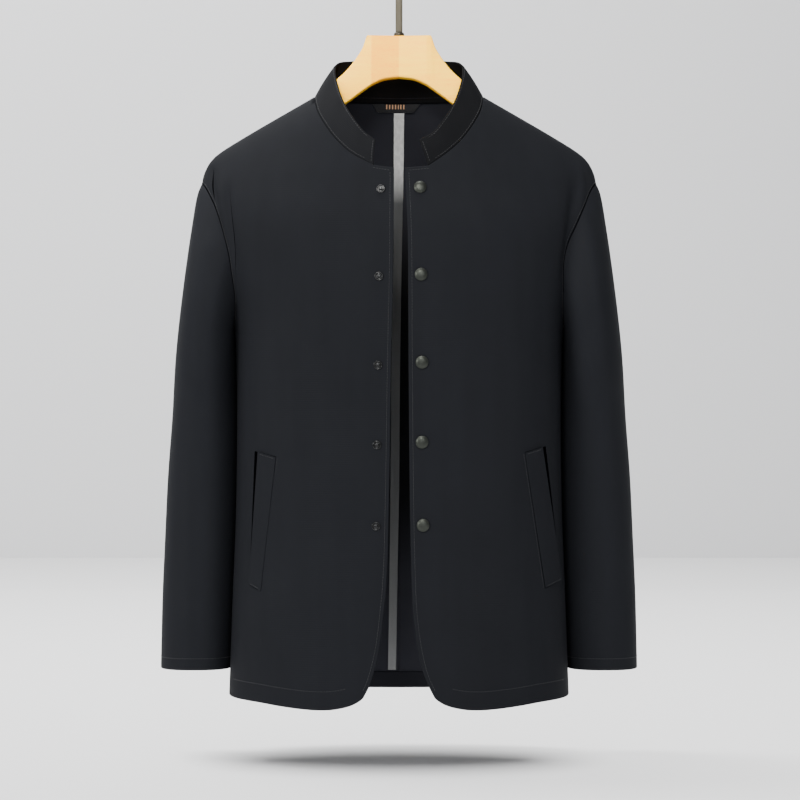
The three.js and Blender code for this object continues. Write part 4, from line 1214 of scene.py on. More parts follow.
@dataclass
class Sleeves:
    """Both sleeves, each an upper and an under sleeve.

    Attributes:
        sections: Height, outer edge, depth front to back, and how far behind the side seam the middle hangs.
        tuck: Lines of the edge that is tucked under the body's cloth, as (distance out, depth).
    """

    shop: Workshop
    finishes: Finishes
    panels: Panels
    sections: Table = (
        (34, 287.2, 96, 22),
        (45, 287, 97, 22),
        (117, 285.5, 103, 24),
        (189, 282.4, 110, 25),
        (261, 279, 118, 25),
        (333, 273.4, 131, 23),
        (405, 268, 148, 10),
        (477, 259.8, 152, 0),
        (531, 253.2, 140, 0),
        (567, 248.2, 120, 0),
        (603, 242.2, 96, 0),
        (617.5, 236.4, 84, 0),
    )
    tuck: Table = ((-2.8, 1.85), (-0.6, 1.75), (0.25, 1.0))
    armhole_gap: float = 0.8
    clear_of_body: float = 0.7
    squareness: float = 0.82
    cap_low: float = 385.0
    cap_rows: Spot = (0, 0.05, 0.14, 0.26, 0.4, 0.56, 0.76, 1)
    cap_fade: float = 2.2
    ease: float = 0.06
    cuff: float = 35.0
    rows: int = 9
    front_seam: int = 10
    back_seam: int = 7
    core_top: float = 560.0

    def __post_init__(self) -> None:
        """Makes smooth curves of the table."""
        heights, *columns = np.array(self.sections, float).T
        self.curves = [Smooth(heights, column) for column in columns]

    def tube(self, angle: Array, h: Array) -> Array:
        """Points of the sleeve tube on the +X side; angle 0 is the outer fold, 90 degrees the front."""
        outer, depth, behind = (curve(h) for curve in self.curves)
        torso = self.panels.torso
        beside = np.minimum(h, torso.underarm)
        n = torso.square(beside)
        narrowed = (1 - (behind / torso.depth[Face.BACK](beside)) ** n) ** (1 / n)
        inner = torso.half(beside) * narrowed + self.clear_of_body
        ways = (np.cos(angle), np.sin(angle))
        across, ahead = (np.sign(way) * np.abs(way) ** self.squareness for way in ways)
        return np.stack(
            [
                (outer + inner) / 2 + (outer - inner) / 2 * across,
                behind - depth / 2 * ahead,
                np.broadcast_to(h, np.shape(angle)) - HOOK_TO_HEM,
            ],
            axis=-1,
        )

    def sleeve_loop(self, side: Side) -> tuple[Array, list[Array]]:
        """Start of the sleeve, and the rings of its edge that is tucked under the body's cloth.

        Args:
            side: The wearer's side.

        Returns:
            Points from the shoulder end round the front to the underarm and up behind, and the tucked rings.
        """
        first = self.panels.first_armhole_row
        front = self.panels.grids[Face.FRONT, side]
        back = self.panels.grids[Face.BACK, side]
        points = np.concatenate([front.points[first:, -1][::-1], back.points[first:, -1][1:-1]])
        normals = np.concatenate([front.normals[first:, -1][::-1], back.normals[first:, -1][1:-1]])
        along = np.roll(points, -FINER_ROWS, axis=0) - np.roll(points, FINER_ROWS, axis=0)
        off = unit(np.cross(along, normals))
        off *= np.sign(np.sum(off * (points.mean(axis=0) - points), axis=1, keepdims=True))
        tucked = [points + off * out - normals * deep for out, deep in self.tuck]
        return points + off * self.armhole_gap, tucked

    def sleeve_rings(self, side: Side) -> Array:
        """The whole sleeve, as closed rings from the armhole to the cuff."""
        loop, tucked = self.sleeve_loop(side)
        count = len(loop)
        half = count // 2
        i = np.arange(count)
        t = np.where(i <= half, i, count - i) / half
        angle = np.where(i <= half, 1, -1) * (t + self.ease * np.sin(TURN * t)) * math.pi
        flip = np.array([side.value, 1, 1])
        start_h = loop[:, 2] + HOOK_TO_HEM
        shift = loop - self.tube(angle, start_h) * flip
        rings = [*tucked, loop]
        for fraction in refined(self.cap_rows, FINER_ROWS)[1:]:
            h = mix(start_h, self.cap_low, fraction)
            rings.append(self.tube(angle, h) * flip + shift * (1 - fraction) ** self.cap_fade)
        for h in np.linspace(self.cap_low, self.cuff, self.rows * FINER_ROWS + 1)[1:]:
            rings.append(self.tube(angle, np.full(count, h)) * flip)
        return np.stack(rings)

    def core(self, side: Side, points: Array) -> Array:
        """A point inside the sleeve for each of its points."""
        h = np.minimum(points[..., 2] + HOOK_TO_HEM, self.core_top)
        middle = self.tube(np.full(h.shape, math.pi / 2), h)
        return np.stack([middle[..., 0] * side.value, 0 * h, points[..., 2]], axis=-1)

    def make(self) -> None:
        """Makes all four pieces."""
        for side in Side:
            rings = self.sleeve_rings(side)
            count = rings.shape[1]
            wrapped = np.concatenate([rings[:, -1:], rings, rings[:, :1]], axis=1)
            normals = facing(wrapped, partial(self.core, side))[:, 1 : count + 1]
            front = self.front_seam * FINER_ROWS
            back = self.back_seam * FINER_ROWS
            for word, low, high in (("upper", -back, front), ("under", front, count - back)):
                columns = np.arange(low, high + 1) % count
                points = rings[:, columns].copy()
                out = run(points, 1)
                flat = np.stack([out - out[:, -1:] / 2, points[..., 2]], axis=2)
                grid = Grid(points, normals[:, columns], flat)
                name = f"sleeve_{word}_{side.word}"
                cloth, lining = self.finishes.sleeve, self.finishes.lining
                obj = self.shop.shell(
                    f"{name}_cloth", grid, cloth, 0.0, -CLOTH, lining=lining, flush_sides=True
                )
                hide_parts(name)
                declare(grid)


@dataclass
class Collar:
    """The stand collar.

    Attributes:
        tuck: Lines of the edge that is tucked under the panels, as (distance out, depth).
        top_ends: The front end of the top edge on each side, as (x, y, height).
        top: The rest of half of the top edge, up to the centre back.
    """

    shop: Workshop
    finishes: Finishes
    panels: Panels
    thickness: float = 2.4
    gap: float = 0.6
    tuck: Table = ((3.2, 2.1), (0.9, 1.9))
    top_ends: dict[Side, Spot] = field(
        default_factory=lambda: {Side.LEFT: (23.5, -73, 662.5), Side.RIGHT: (27.5, -73, 662.5)}
    )
    top: Table = (
        (40, -68, 672.5),
        (49, -62.5, 683.3),
        (57, -55, 695),
        (64.3, -45, 708),
        (70, -34, 722),
        (74, -20, 736),
        (76.6, -6, 750),
        (76.8, 5, 759.5),
        (72, 15.5, 764.3),
        (58, 25, 766.5),
        (36, 32, 767.5),
        (0, 35.5, 768),
    )
    side_at: int = 8
    back_columns: Spot = (0, 0.11, 0.21, 0.35, 0.51, 0.67, 0.83, 1)
    bulge: float = 1.2
    rows: int = 28

    def make(self) -> None:
        """Makes the collar."""
        self.grid = self.surface()
        outer, painted_shade_facing_cloth = self.finishes.collar, self.finishes.facing
        obj = self.shop.shell("collar_band", self.grid, outer, 0.0, -self.thickness, 1.6, painted_shade_facing_cloth)
        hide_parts("collar")
        declare(self.grid)

    def surface(self) -> Grid:
        """The outer surface, from the left front end round the back to the right one."""
        panels = self.panels
        columns = panels.extension_columns * FINER_COLUMNS
        halves = []
        tops = []
        for side in Side:
            front, back = panels.grids[Face.FRONT, side], panels.grids[Face.BACK, side]
            ahead = slice(columns, panels.neck_column(Face.FRONT) + 1)
            behind = slice(panels.neck_column(Face.BACK) - 1, None, -1)
            edge, below, facing_out = (
                np.concatenate([values(front)[ahead], values(back)[behind]])
                for values in (lambda g: g.points[-1], lambda g: g.points[-2], lambda g: g.normals[-2])
            )
            halves.append(np.stack([edge, unit(below - edge), facing_out]))
            outline = (self.top_ends[side], *self.top)
            top = np.array(outline, float) * (side.value, 1, 1) - (0, 0, HOOK_TO_HEM)
            front_at = np.linspace(0, 1, panels.neck_steps * FINER_COLUMNS + 1)
            back_at = refined(self.back_columns, FINER_COLUMNS)[1:]
            in_front = spline(top[: self.side_at + 1], front_at)
            tops.append(np.concatenate([in_front, spline(top[self.side_at :], back_at)]))
        neck, away, under = np.concatenate([halves[0], halves[1][:, -2::-1]], axis=1)
        top = np.concatenate([tops[0], tops[1][-2::-1]])
        rise = unit(top - neck)
        outward = unit(np.stack([neck[:, 0], neck[:, 1] + 10, 0 * neck[:, 0]], axis=1))
        start = neck + rise * self.gap - outward * self.gap
        t = np.linspace(0, 1, self.rows)[:, None, None]
        points = mix(start[None], top[None], t) + outward[None] * self.bulge * np.sin(math.pi * t)
        tucked = [neck + away * out - under * deep for out, deep in self.tuck]
        points = np.concatenate([np.stack(tucked), points])
        normals = facing(points, neck_middle)
        flat = np.stack(np.broadcast_arrays(run(neck)[None], run(points)), axis=2)
        return Grid(points, normals, flat)


def neck_middle(points: Array) -> Array:
    """A point inside the neck at the height of each point of the collar."""
    return np.stack([0 * points[..., 0], 0 * points[..., 1] - 20, points[..., 2]], axis=-1)


@dataclass
class Welts:
    """The two slanted pocket welts and the black sheet of painted shade beside each, for the slit.

    Attributes:
        corners: Top inner, top outer, bottom inner and bottom outer corner on each side, as (x, height).
    """

    shop: Workshop
    finishes: Finishes
    torso: Torso
    corners: dict[Side, Table] = field(
        default_factory=lambda: {
            Side.LEFT: ((146.8, 295.5), (167, 302), (171, 137), (191, 144.5)),
            Side.RIGHT: ((-143.2, 290.5), (-164, 296.5), (-161, 133.5), (-174.6, 141)),
        }
    )
    stands_off: float = 1.2
    faces: Spot = (1.2, 0.45)
    gapes: Spot = (4.9, 0.6)
    shows_above: float = 0.7

    def make(self) -> None:
        """Makes the welts and the painted shade of the slits."""
        for side, corners in self.corners.items():
            grid = self.torso.patch(Face.FRONT, corners, 40, 8)
            stand = np.linspace(0, self.stands_off, grid.points.shape[1])[None, :, None]
            grid = Grid(grid.points + grid.normals * stand, grid.normals, grid.cloth)
            name = f"pocket_welt_{side.word}"
            obj = self.shop.shell(f"{name}_cloth", grid, self.finishes.body, *self.faces, 0.5)
            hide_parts(name)
            declare(grid)
            # A black sheet laid on the front beside the welt: painted shade for the slit.
            top_in, top_out, bottom_in, bottom_out = corners
            ends = ((top_in, top_out, self.shows_above), (bottom_in, bottom_out, -self.shows_above))
            around = []
            for (inner, outer, above), gape in zip(ends, self.gapes, strict=True):
                around += [(inner[0], inner[1] + above), (outer[0] + side.value * gape, outer[1] + above)]
            slit = self.torso.patch(Face.FRONT, around, 40, 12)
            self.shop.shell(f"pocket_slit_{side.word}", slit, self.finishes.slit, 0.35, 0.05, 0.2)


@dataclass
class InsideBack:
    """The seam tape, the size label and the hem's turn-up inside the back.

    Attributes:
        tape: Height, left edge and right edge of the tape as it hangs.
        label: Top left, top right, bottom left and bottom right corner of the label, as (x, height).
    """

    shop: Workshop
    finishes: Finishes
    panels: Panels
    depth: float = -(CLOTH + LAID_ON_GAP + 0.15)
    tape: Table = (
        (22.1, -13.7, -3.7),
        (120, -12.2, -2.2),
        (260, -10.6, 0.3),
        (400, -9.4, 1.4),
        (540, -8, 3.6),
        (640, -6.7, 5.7),
        (707, -6.5, 6.6),
    )
    tape_thickness: float = 0.7
    label: Table = ((-33.5, 719), (27.6, 719), (-26.7, 707.8), (18.2, 707.8))
    label_under: float = 0.3
    label_thickness: float = 0.9
    bars: int = 7
    bar_pitch: float = 3.6
    bar_size: Spot = (1.5, 5.0)
    bars_at: Spot = (-4.6, 714.4)
    bars_under: float = 1.15
    turn_up_from: float = 0.6
    turn_up: float = 20.0
    turn_up_thickness: float = 0.9
    turn_up_ends: int = 2

    def make(self) -> None:
        """Makes all of it."""
        self.make_tape()
        self.make_label()
        self.make_bars()
        self.make_turn_up()

    def make_tape(self) -> None:
        """Makes the seam tape, down the centre-back seam."""
        heights, left, right = np.array(self.tape, float).T
        h = np.linspace(heights[0], heights[-1], 181)
        low, high = Smooth(heights, left)(h), Smooth(heights, right)(h)
        x = mix(low[:, None], high[:, None], np.linspace(0, 1, 9)[None])
        level = np.broadcast_to(h[:, None], x.shape)
        torso = self.panels.torso
        points, normals = torso.at(Face.BACK, x, level), torso.normal(Face.BACK, x, level)
        grid = Grid(points, normals, np.stack([x - low[:, None], level], axis=2))
        top, bottom = self.depth, self.depth - self.tape_thickness
        obj = self.shop.shell("centre_back_tape_satin", grid, self.finishes.satin, top, bottom, 0.5)
        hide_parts("centre_back_tape")
        declare(grid)

    def make_label(self) -> None:
        """Makes the label under the neck seam."""
        grid = self.panels.torso.patch(Face.BACK, self.label, 6, 30)
        top = self.depth - self.label_under
        obj = self.shop.shell(
            "size_label_woven", grid, self.finishes.label, top, top - self.label_thickness, 0.5
        )
        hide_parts("size_label")
        declare(grid)

    def make_bars(self) -> None:
        """Makes a row of plain woven bars on the label, in place of its marking."""
        middle, height = self.bars_at
        wide, tall = self.bar_size
        low, high = height - tall / 2, height + tall / 2
        top = self.depth - self.bars_under
        for k in range(self.bars):
            x = middle + (k - (self.bars - 1) / 2) * self.bar_pitch
            left, right = x - wide / 2, x + wide / 2
            bar = self.panels.torso.patch(
                Face.BACK, ((left, high), (right, high), (left, low), (right, low)), 4, 3
            )
            self.shop.shell(f"label_bar_{k + 1}", bar, self.finishes.copper, top, top - 0.25, 0.15)

    def make_turn_up(self) -> None:
        """Makes the hem's turn-up, along both backs."""
        ends = slice(self.turn_up_ends, -self.turn_up_ends)
        right, left = (self.panels.grids[Face.BACK, side] for side in (Side.RIGHT, Side.LEFT))
        points = np.concatenate([right.points[:, ::-1], left.points[:, 1:]], axis=1)[:, ends]
        normals = np.concatenate([right.normals[:, ::-1], left.normals[:, 1:]], axis=1)[:, ends]
        rise = points[..., 2] - points[:1, :, 2]
        heights = np.linspace(self.turn_up_from, self.turn_up, 7)
        columns = [
            [np.interp(heights, rise[:, j], points[:, j, axis]) for axis in range(3)]
            for j in range(points.shape[1])
        ]
        rows = np.array(columns).transpose(2, 0, 1)
        flat = np.stack(np.broadcast_arrays(run(rows[0])[None], heights[:, None]), axis=2)
        grid = Grid(rows, np.broadcast_to(normals[5][None], rows.shape), flat)
        top, bottom = self.depth, self.depth - self.turn_up_thickness
        obj = self.shop.shell("back_hem_band", grid, self.finishes.inside, top, bottom, 0.6)
        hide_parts("back_hem_turn_up")
        declare(grid)


@dataclass
class Snaps:
    """The five caps and the five studs.

    Attributes:
        caps: Distance from the middle and height of each cap.
        studs: The same of each stud.
    """

    shop: Workshop
    finishes: Finishes
    torso: Torso
    caps: Table = ((24.6, 605), (25.6, 502.5), (26.6, 400.7), (26.7, 308.2), (27.9, 212))
    studs: Table = ((21.1, 603), (23.3, 500.4), (24.4, 397.3), (25.5, 304.8), (26.7, 211))
    cap_radius: float = 7.5
    stud_radius: float = 5.2
    segments: int = 40

    def cap_outline(self) -> Table:
        """Half outline of a cap as (radius, height): a rolled rim round a low dome."""
        r = self.cap_radius
        rim = ((r - 0.7, 0), (r - 0.1, 0.25), (r, 0.7), (r - 0.15, 1.15), (r - 0.55, 1.4), (r - 0.95, 1.42))
        dome = ((r - 1.5, 1.85), (r * 0.6, 2.45), (r * 0.4, 2.72), (r * 0.2, 2.86))
        return ((0, 0), *rim, *dome, (0, 2.9))

    def stud_outline(self) -> Table:
        """Half outline of a stud: a rounded ring, a sunk floor and a post with a head."""
        r = self.stud_radius
        ring = ((r - 0.2, 0), (r, 0.25), (r, 0.7), (r - 0.35, 1.05), (r - 0.9, 1.15), (r - 1.35, 0.95))
        sunk_floor = ((r - 1.6, 0.55), (2.2, 0.5))
        post = ((1.95, 0.8), (1.85, 1.9), (1.95, 2.3), (1.7, 2.65), (1.2, 2.8))
        return ((0, 0), *ring, *sunk_floor, *post, (0, 2.8))

    def make(self) -> None:
        """Makes the caps on the wearer's left and the studs on the right."""
        for i, (x, h) in enumerate(self.caps, 1):
            self.turned(f"snap_cap_{i}", self.cap_outline(), x, h, self.finishes.cap)
        for i, (x, h) in enumerate(self.studs, 1):
            self.turned(f"snap_stud_{i}", self.stud_outline(), -x, h, self.finishes.stud)

    def turned(self, name: str, outline: Table, x: float, h: float, material: Material) -> None:
        """Makes a turned piece seated on the front.

        Args:
            name: The node it replaces.
            outline: Its half outline as (radius, height).
            x: Distance from the middle, with its sign.
            h: Height above the hem.
            material: Its finish.
        """
        around = np.linspace(0, TURN, self.segments, endpoint=False)
        radius, height = np.array(outline, float)[1:-1].T
        normal = self.torso.normal(Face.FRONT, x, h)
        side, up = seat_axes(normal)
        spot = self.torso.at(Face.FRONT, x, h) + normal * LAID_ON_GAP
        circle = np.cos(around)[None, :, None] * side + np.sin(around)[None, :, None] * up
        rings = spot + radius[:, None, None] * circle + height[:, None, None] * normal
        ends = [spot + normal * outline[0][1], spot + normal * outline[-1][1]]
        index = np.arange(len(rings) * self.segments).reshape(len(rings), self.segments)
        wrapped = np.concatenate([index, index[:, :1]], axis=1)
        faces = [tuple(face) for face in quads(wrapped)]
        bottom, top = index.size, index.size + 1
        faces += [(bottom, b, a) for a, b in zip(wrapped[0], wrapped[0][1:], strict=False)]
        faces += [(top, a, b) for a, b in zip(wrapped[-1], wrapped[-1][1:], strict=False)]
        points = np.concatenate([rings.reshape(-1, 3), ends])
        obj = self.shop.make(f"{name}_turned", points, faces, material)
        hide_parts(name)


def seat_axes(normal: Array) -> tuple[Array, Array]:
    """Two directions at right angles to a normal, so that side, up and the normal are right-handed."""
    side = unit(np.cross(np.array([0.0, 0.0, 1.0]), normal))
    return side, np.cross(normal, side)


def square_off(normals: Array, axis: int) -> None:
    """Takes one component out of the normals along an edge that meets its mirror image."""
    normals[:, axis] = 0
    normals[:] = unit(normals)


def declare(grid: Grid) -> None:
    """Works out the developed size and area of a piece as a hung sheet of cloth; the results are not kept.

    Args:
        grid: Its surface.
    """
    width, length = grid.spans()
    area = min(grid.area(), width * length)


@dataclass(frozen=True)
class Crease:
    """A narrow black cord of painted crease shade in a front, dying away at both ends.

    Attributes:
        path: Its line, as (x, height).
    """

    name: str
    path: Table
    radius: float


def sampled(values: Array, along: Array, at: Array) -> Array:
    """Points read between those of a line.

    Args:
        values: The line's points or normals.
        along: Distance of each of them from its start.
        at: Distances to read at.

    Returns:
        One point for each distance.
    """
    return np.stack([np.interp(at, along, values[:, axis]) for axis in range(3)], axis=-1)


@dataclass
class Stitching:
    """Rows of stitches, made as short raised threads, with black cords of painted shade for seams and creases
    beside them.

    Attributes:
        profile: Place along a stitch, width and lift of each of its rings, the last two in thread radii.
        creases: Black cords of painted crease shade in the fronts beside the armholes.
    """

    shop: Workshop
    finishes: Finishes
    panels: Panels
    sleeves: Sleeves
    collar: Collar
    welts: Welts
    length: float = 2.7
    pitch: float = 3.4
    radius: float = 0.26
    profile: Table = (
        (0.0, 0.25, -0.9),
        (0.14, 0.8, 0.1),
        (0.5, 1.0, 0.55),
        (0.86, 0.8, 0.1),
        (1.0, 0.25, -0.9),
    )
    sides: int = 6
    from_edge: float = 4.4
    above_hem: float = 21.6
    above_cuff: float = 14.0
    beside_armhole: float = 2.2
    from_collar_top: float = 3.2
    from_collar_base: float = 2.6
    collar_inside_row: int = 1
    collar_inside_columns: int = 20
    beside_welt: float = 1.6
    from_welt_ends: float = 2.2
    groove_depth: float = 0.25
    groove_radius: float = 0.6
    creases: tuple[Crease, ...] = (
        Crease("crease_right", ((-221, 634), (-222.5, 622), (-222, 608), (-219, 594)), 0.8),
        Crease("crease_right_long", ((-201.5, 612), (-198, 580), (-193.5, 540), (-190.5, 495)), 0.35),
    )

    def cord(self, name: str, points: Array, normals: Array, radius: Array, material: Material) -> Object:
        """Makes a thin round cord along a line.

        Args:
            name: The piece's name.
            points: Its middle line.
            normals: The way the surface looks along it.
            radius: Half of its thickness at each point.
            material: Its finish.

        Returns:
            The object.
        """
        along = unit(np.gradient(points, axis=0))
        side = unit(np.cross(normals, along))
        up = np.cross(along, side)
        angles = np.linspace(0, TURN, 8, endpoint=False)[None, :, None]
        ring = np.cos(angles) * side[:, None] + np.sin(angles) * up[:, None]
        return self.shop.loft(name, points[:, None] + ring * radius[:, None, None], material)

    def row(
        self,
        name: str,
        points: Array,
        normals: Array,
        radius: float | None = None,
        material: Material | None = None,
    ) -> Object:
        """Makes one row of stitches.

        Args:
            name: The piece's name.
            points: The row, on the surface.
            normals: The way the surface looks along it.
            radius: Half of the thread's thickness, if not the usual one.
            material: Its finish, if not the usual thread.

        Returns:
            The object.
        """
        thread = self.radius if radius is None else radius
        along = run(points)
        count = max(int(along[-1] // self.pitch), 1)
        starts = (along[-1] - count * self.pitch) / 2 + np.arange(count) * self.pitch
        place, width, lift = np.array(self.profile).T
        at = starts[:, None] + place[None] * self.length
        normal = unit(sampled(normals, along, at))
        tangent = unit(sampled(points, along, at + 0.3) - sampled(points, along, at - 0.3))
        side = unit(np.cross(normal, tangent))
        centre = sampled(points, along, at) + normal * (lift * thread)[None, :, None]
        angles = np.linspace(0, TURN, self.sides, endpoint=False)
        wide = (width * thread)[None, :, None, None]
        ring = (
            centre[:, :, None]
            + wide * np.cos(angles)[None, None, :, None] * side[:, :, None]
            + wide * np.sin(angles)[None, None, :, None] * normal[:, :, None]
        )
        block = np.arange(len(place) * self.sides).reshape(len(place), self.sides)
        one = quads(np.concatenate([block, block[:, :1]], axis=1))
        faces = (one[None] + (np.arange(count) * block.size)[:, None, None]).reshape(-1, 4)
        return self.shop.make(name, ring.reshape(-1, 3), faces, material or self.finishes.thread)

    def on_body(self, name: str, face: Face, spots: Array, lift: float = 0.0) -> Object:
        """A row of stitches on the body through (x, height) spots."""
        torso = self.panels.torso
        normals = torso.normal(face, spots[:, 0], spots[:, 1])
        return self.row(name, torso.at(face, spots[:, 0], spots[:, 1]) + normals * lift, normals)

    def make(self) -> None:
        """Makes all rows of stitches, and the black cords of painted shade in the seams and creases."""
        for side in Side:
            self.front_edge(side)
            self.hem(side)
            self.cuff(side)
            self.armhole(side)
        for crease in self.creases:
            self.crease(crease)
        self.round_collar()
        self.round_welts()

    def crease(self, crease: Crease) -> None:
        """Makes one black cord of painted crease shade."""
        t = np.linspace(0, 1, 40)
        spots = spline(crease.path, t)
        side = Side.LEFT if spots[0, 0] > 0 else Side.RIGHT
        torso = self.panels.torso
        normals = torso.normal(Face.FRONT, spots[:, 0], spots[:, 1])
        points = self.panels.creased(Face.FRONT, side, torso.at(Face.FRONT, spots[:, 0], spots[:, 1]))
        widths = crease.radius * np.maximum(np.sin(math.pi * t), 0.05)
        self.cord(crease.name, points, normals, widths, self.finishes.slit)

    def front_edge(self, side: Side) -> None:
        """Topstitching up the front edge and along the top of the extension."""
        edge, collar_end = self.panels.edge(side), self.panels.collar_ends[side]
        top_height = self.panels.extension_height
        h = np.linspace(edge[0][0] + 6, top_height - self.from_edge, 400)
        edge_x = Smooth.through(edge)
        border = np.stack([edge_x(h), h], axis=1)
        slope = np.gradient(border, axis=0)
        inward = unit(np.stack([np.abs(slope[:, 1]), -slope[:, 0] * np.sign(slope[:, 1])], axis=1))
        spots = border + inward * self.from_edge
        spots[:, 0] *= side.value
        self.on_body(f"stitches_front_{side.word}", Face.FRONT, spots)
        x = np.linspace(float(edge_x(top_height)) + self.from_edge, collar_end[0] + 2, 30)
        top = mix(top_height, collar_end[1], (x - x[0]) / (x[-1] - x[0])) - self.from_edge * 0.75
        self.on_body(f"stitches_extension_{side.word}", Face.FRONT, np.stack([x * side.value, top], axis=1))

    def hem(self, side: Side) -> None:
        """Stitching above the front and back hems."""
        hems = ((Face.FRONT, self.panels.front_hem, 62, 160), (Face.BACK, self.panels.back_hem, 1.5, 200))
        for face, hem, start, count in hems:
            x = np.linspace(start, 196, count)
            spots = np.stack([x * side.value, Smooth.through(hem)(x) + self.above_hem], axis=1)
            self.on_body(f"stitches_{face.word}_hem_{side.word}", face, spots)

    def cuff(self, side: Side) -> None:
        """Stitching round the cuff."""
        angle = np.linspace(0, TURN, 240)
        h = np.full(len(angle), self.sleeves.cuff + self.above_cuff)
        flip = np.array([side.value, 1, 1])
        points = self.sleeves.tube(angle, h) * flip
        middle = self.sleeves.tube(np.array([0.0, math.pi]), h[:2]).mean(axis=0) * flip
        self.row(f"stitches_cuff_{side.word}", points, unit((points - middle) * (1.6, 0.6, 0)))

    def armhole(self, side: Side) -> None:
        """A row of stitches beside the armhole seam and a black cord of painted seam shade in it, on the
        front and the back.
        """
        first = self.panels.first_armhole_row + 2
        for face in Face:
            grid = self.panels.grids[face, side]
            word = f"{face.word}_{side.word}"
            edge, beside = grid.points[first:-3, -1], grid.points[first:-3, -2]
            points = edge + unit(beside - edge) * self.beside_armhole
            normals = grid.normals[first:-3, -2]
            self.row(f"stitches_armhole_{word}", points, normals, 0.2, self.finishes.dark_thread)
            # A black cord sunk into the armhole seam: painted seam shade.
            outward = grid.normals[first:-1, -1]
            painted_seam_shade = grid.points[first:-1, -1] - outward * self.groove_depth
            radius = np.full(len(painted_seam_shade), self.groove_radius)
            self.cord(f"seam_armhole_{word}", painted_seam_shade, outward, radius, self.finishes.slit)

    def round_collar(self) -> None:
        """Topstitching along the collar's top, ends and base, and inside it behind the neck."""
        whole = self.collar.grid
        seen = slice(len(self.collar.tuck), None)
        grid = Grid(whole.points[seen], whole.normals[seen], whole.cloth[seen])
        height = np.linalg.norm(grid.points[-1] - grid.points[0], axis=1)
        columns = np.arange(len(height))
        shares = (("top", 1 - self.from_collar_top / height), ("base", self.from_collar_base / height))
        for name, share in shares:
            at = share * (len(grid.points) - 1)
            low = np.floor(at).astype(int)
            points = mix(grid.points[low, columns], grid.points[low + 1, columns], (at - low)[:, None])
            self.row(f"stitches_collar_{name}", points[3:-3], grid.normals[low, columns][3:-3])
        for name, edge, following in (("left", 0, 1), ("right", -1, -2)):
            inward = unit(grid.points[:, following] - grid.points[:, edge])
            points = grid.points[:, edge] + inward * self.from_collar_top
            self.row(f"stitches_collar_end_{name}", points[2:-2], grid.normals[2:-2, following])
        middle = grid.points.shape[1] // 2
        behind = slice(middle - self.collar_inside_columns, middle + self.collar_inside_columns + 1)
        facing_in = -grid.normals[self.collar_inside_row, behind]
        points = grid.points[self.collar_inside_row, behind] + facing_in * self.collar.thickness
        self.row("stitches_collar_inside", points, facing_in, 0.35, self.finishes.lining)

    def round_welts(self) -> None:
        """Stitching along the inner edge and the ends of the welts."""
        t = np.linspace(0, 1, 80)[:, None]
        part = np.linspace(0.08, 0.92, 16)[:, None]
        inset = self.from_welt_ends
        for side, corners in self.welts.corners.items():
            top_in, top_out, bottom_in, bottom_out = np.array(corners, float)
            inner = mix(bottom_in, top_in, t) + np.array([-side.value * self.beside_welt, 0.0])
            self.on_body(f"stitches_welt_{side.word}", Face.FRONT, inner)
            ends = (("top", top_in, top_out, -inset), ("bottom", bottom_in, bottom_out, inset))
            for name, start, end, up in ends:
                across = mix(start, end, part) + np.array([0.0, up])
                self.on_body(f"stitches_welt_{name}_{side.word}", Face.FRONT, across, inset)


def rounded_corners(wide: float, low: float, high: float, radius: float, steps: int) -> Array:
    """Points round a box with rounded corners.

    Args:
        wide: Half of its width.
        low: Its lower edge.
        high: Its upper edge.
        radius: Radius of the corners.
        steps: Points on each corner.

    Returns:
        Points as (across, up), corner after corner.
    """
    middles = (
        (wide - radius, high - radius),
        (-wide + radius, high - radius),
        (-wide + radius, low + radius),
        (wide - radius, low + radius),
    )
    return np.array(
        [
            (across + radius * math.cos(turn + quarter), up + radius * math.sin(turn + quarter))
            for (across, up), quarter in zip(middles, np.arange(4) * math.pi / 2, strict=True)
            for turn in np.linspace(0, math.pi / 2, steps)
        ]
    )


@dataclass
class Hanger:
    """The wooden hanger.

    Attributes:
        half: Distance from the middle, top, bottom, thickness and distance forward of each station.
    """

    shop: Workshop
    finishes: Finishes
    half: Table = (
        (0, 793, 743.4, 22, 0),
        (16, 793, 741.3, 22, 2),
        (32.5, 793, 734.4, 22, 4),
        (37.6, 793, 731, 21, 4),
        (43.2, 778.8, 727, 20, 4),
        (50, 767.5, 722, 19, 4.2),
        (58.6, 756, 715.5, 18, 4.5),
        (66, 748, 710, 17, 4.8),
        (75.8, 738.9, 703.4, 16, 5),
        (86, 724, 694.5, 14, 3),
        (101, 712.4, 685, 13, 3),
        (130, 699.45, 670.15, 13, 3),
        (165, 678.75, 649.15, 13, 3),
        (196, 660.35, 631.15, 13, 3),
        (205, 653.65, 627.15, 12, 3),
        (210, 647.15, 628.15, 10, 3),
        (213, 640.65, 632.15, 8, 3),
    )
    rounding: float = 2.6
    stations: int = 150

    def make(self) -> None:
        """Makes both arms as one body."""
        x, top, bottom, thick, forward = np.array(self.half, float).T
        stations = np.unique(np.concatenate([x, np.linspace(0, x[-1], self.stations)]))
        high, low, deep = (Smooth(x, column)(stations) for column in (top, bottom, thick))
        lean = np.interp(stations, x, forward)
        left = [self.section(*values) for values in zip(stations, high, low, deep, lean, strict=True)]
        right = [section * (-1, 1, 1) for section in left[:0:-1]]
        wood = self.shop.loft("hanger_wood_beech", np.stack(right + left), self.finishes.wood)
        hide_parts("hanger_wood")

    def section(self, x: float, top: float, bottom: float, thick: float, forward: float) -> Array:
        """One rounded section of the wood at x."""
        deep = thick / 2
        radius = min(self.rounding, deep * 0.6, (top - bottom) * 0.3)
        y, h = rounded_corners(deep, bottom, top, radius, 5).T
        return np.stack([np.full(len(y), x), y - forward, h - HOOK_TO_HEM], axis=1)


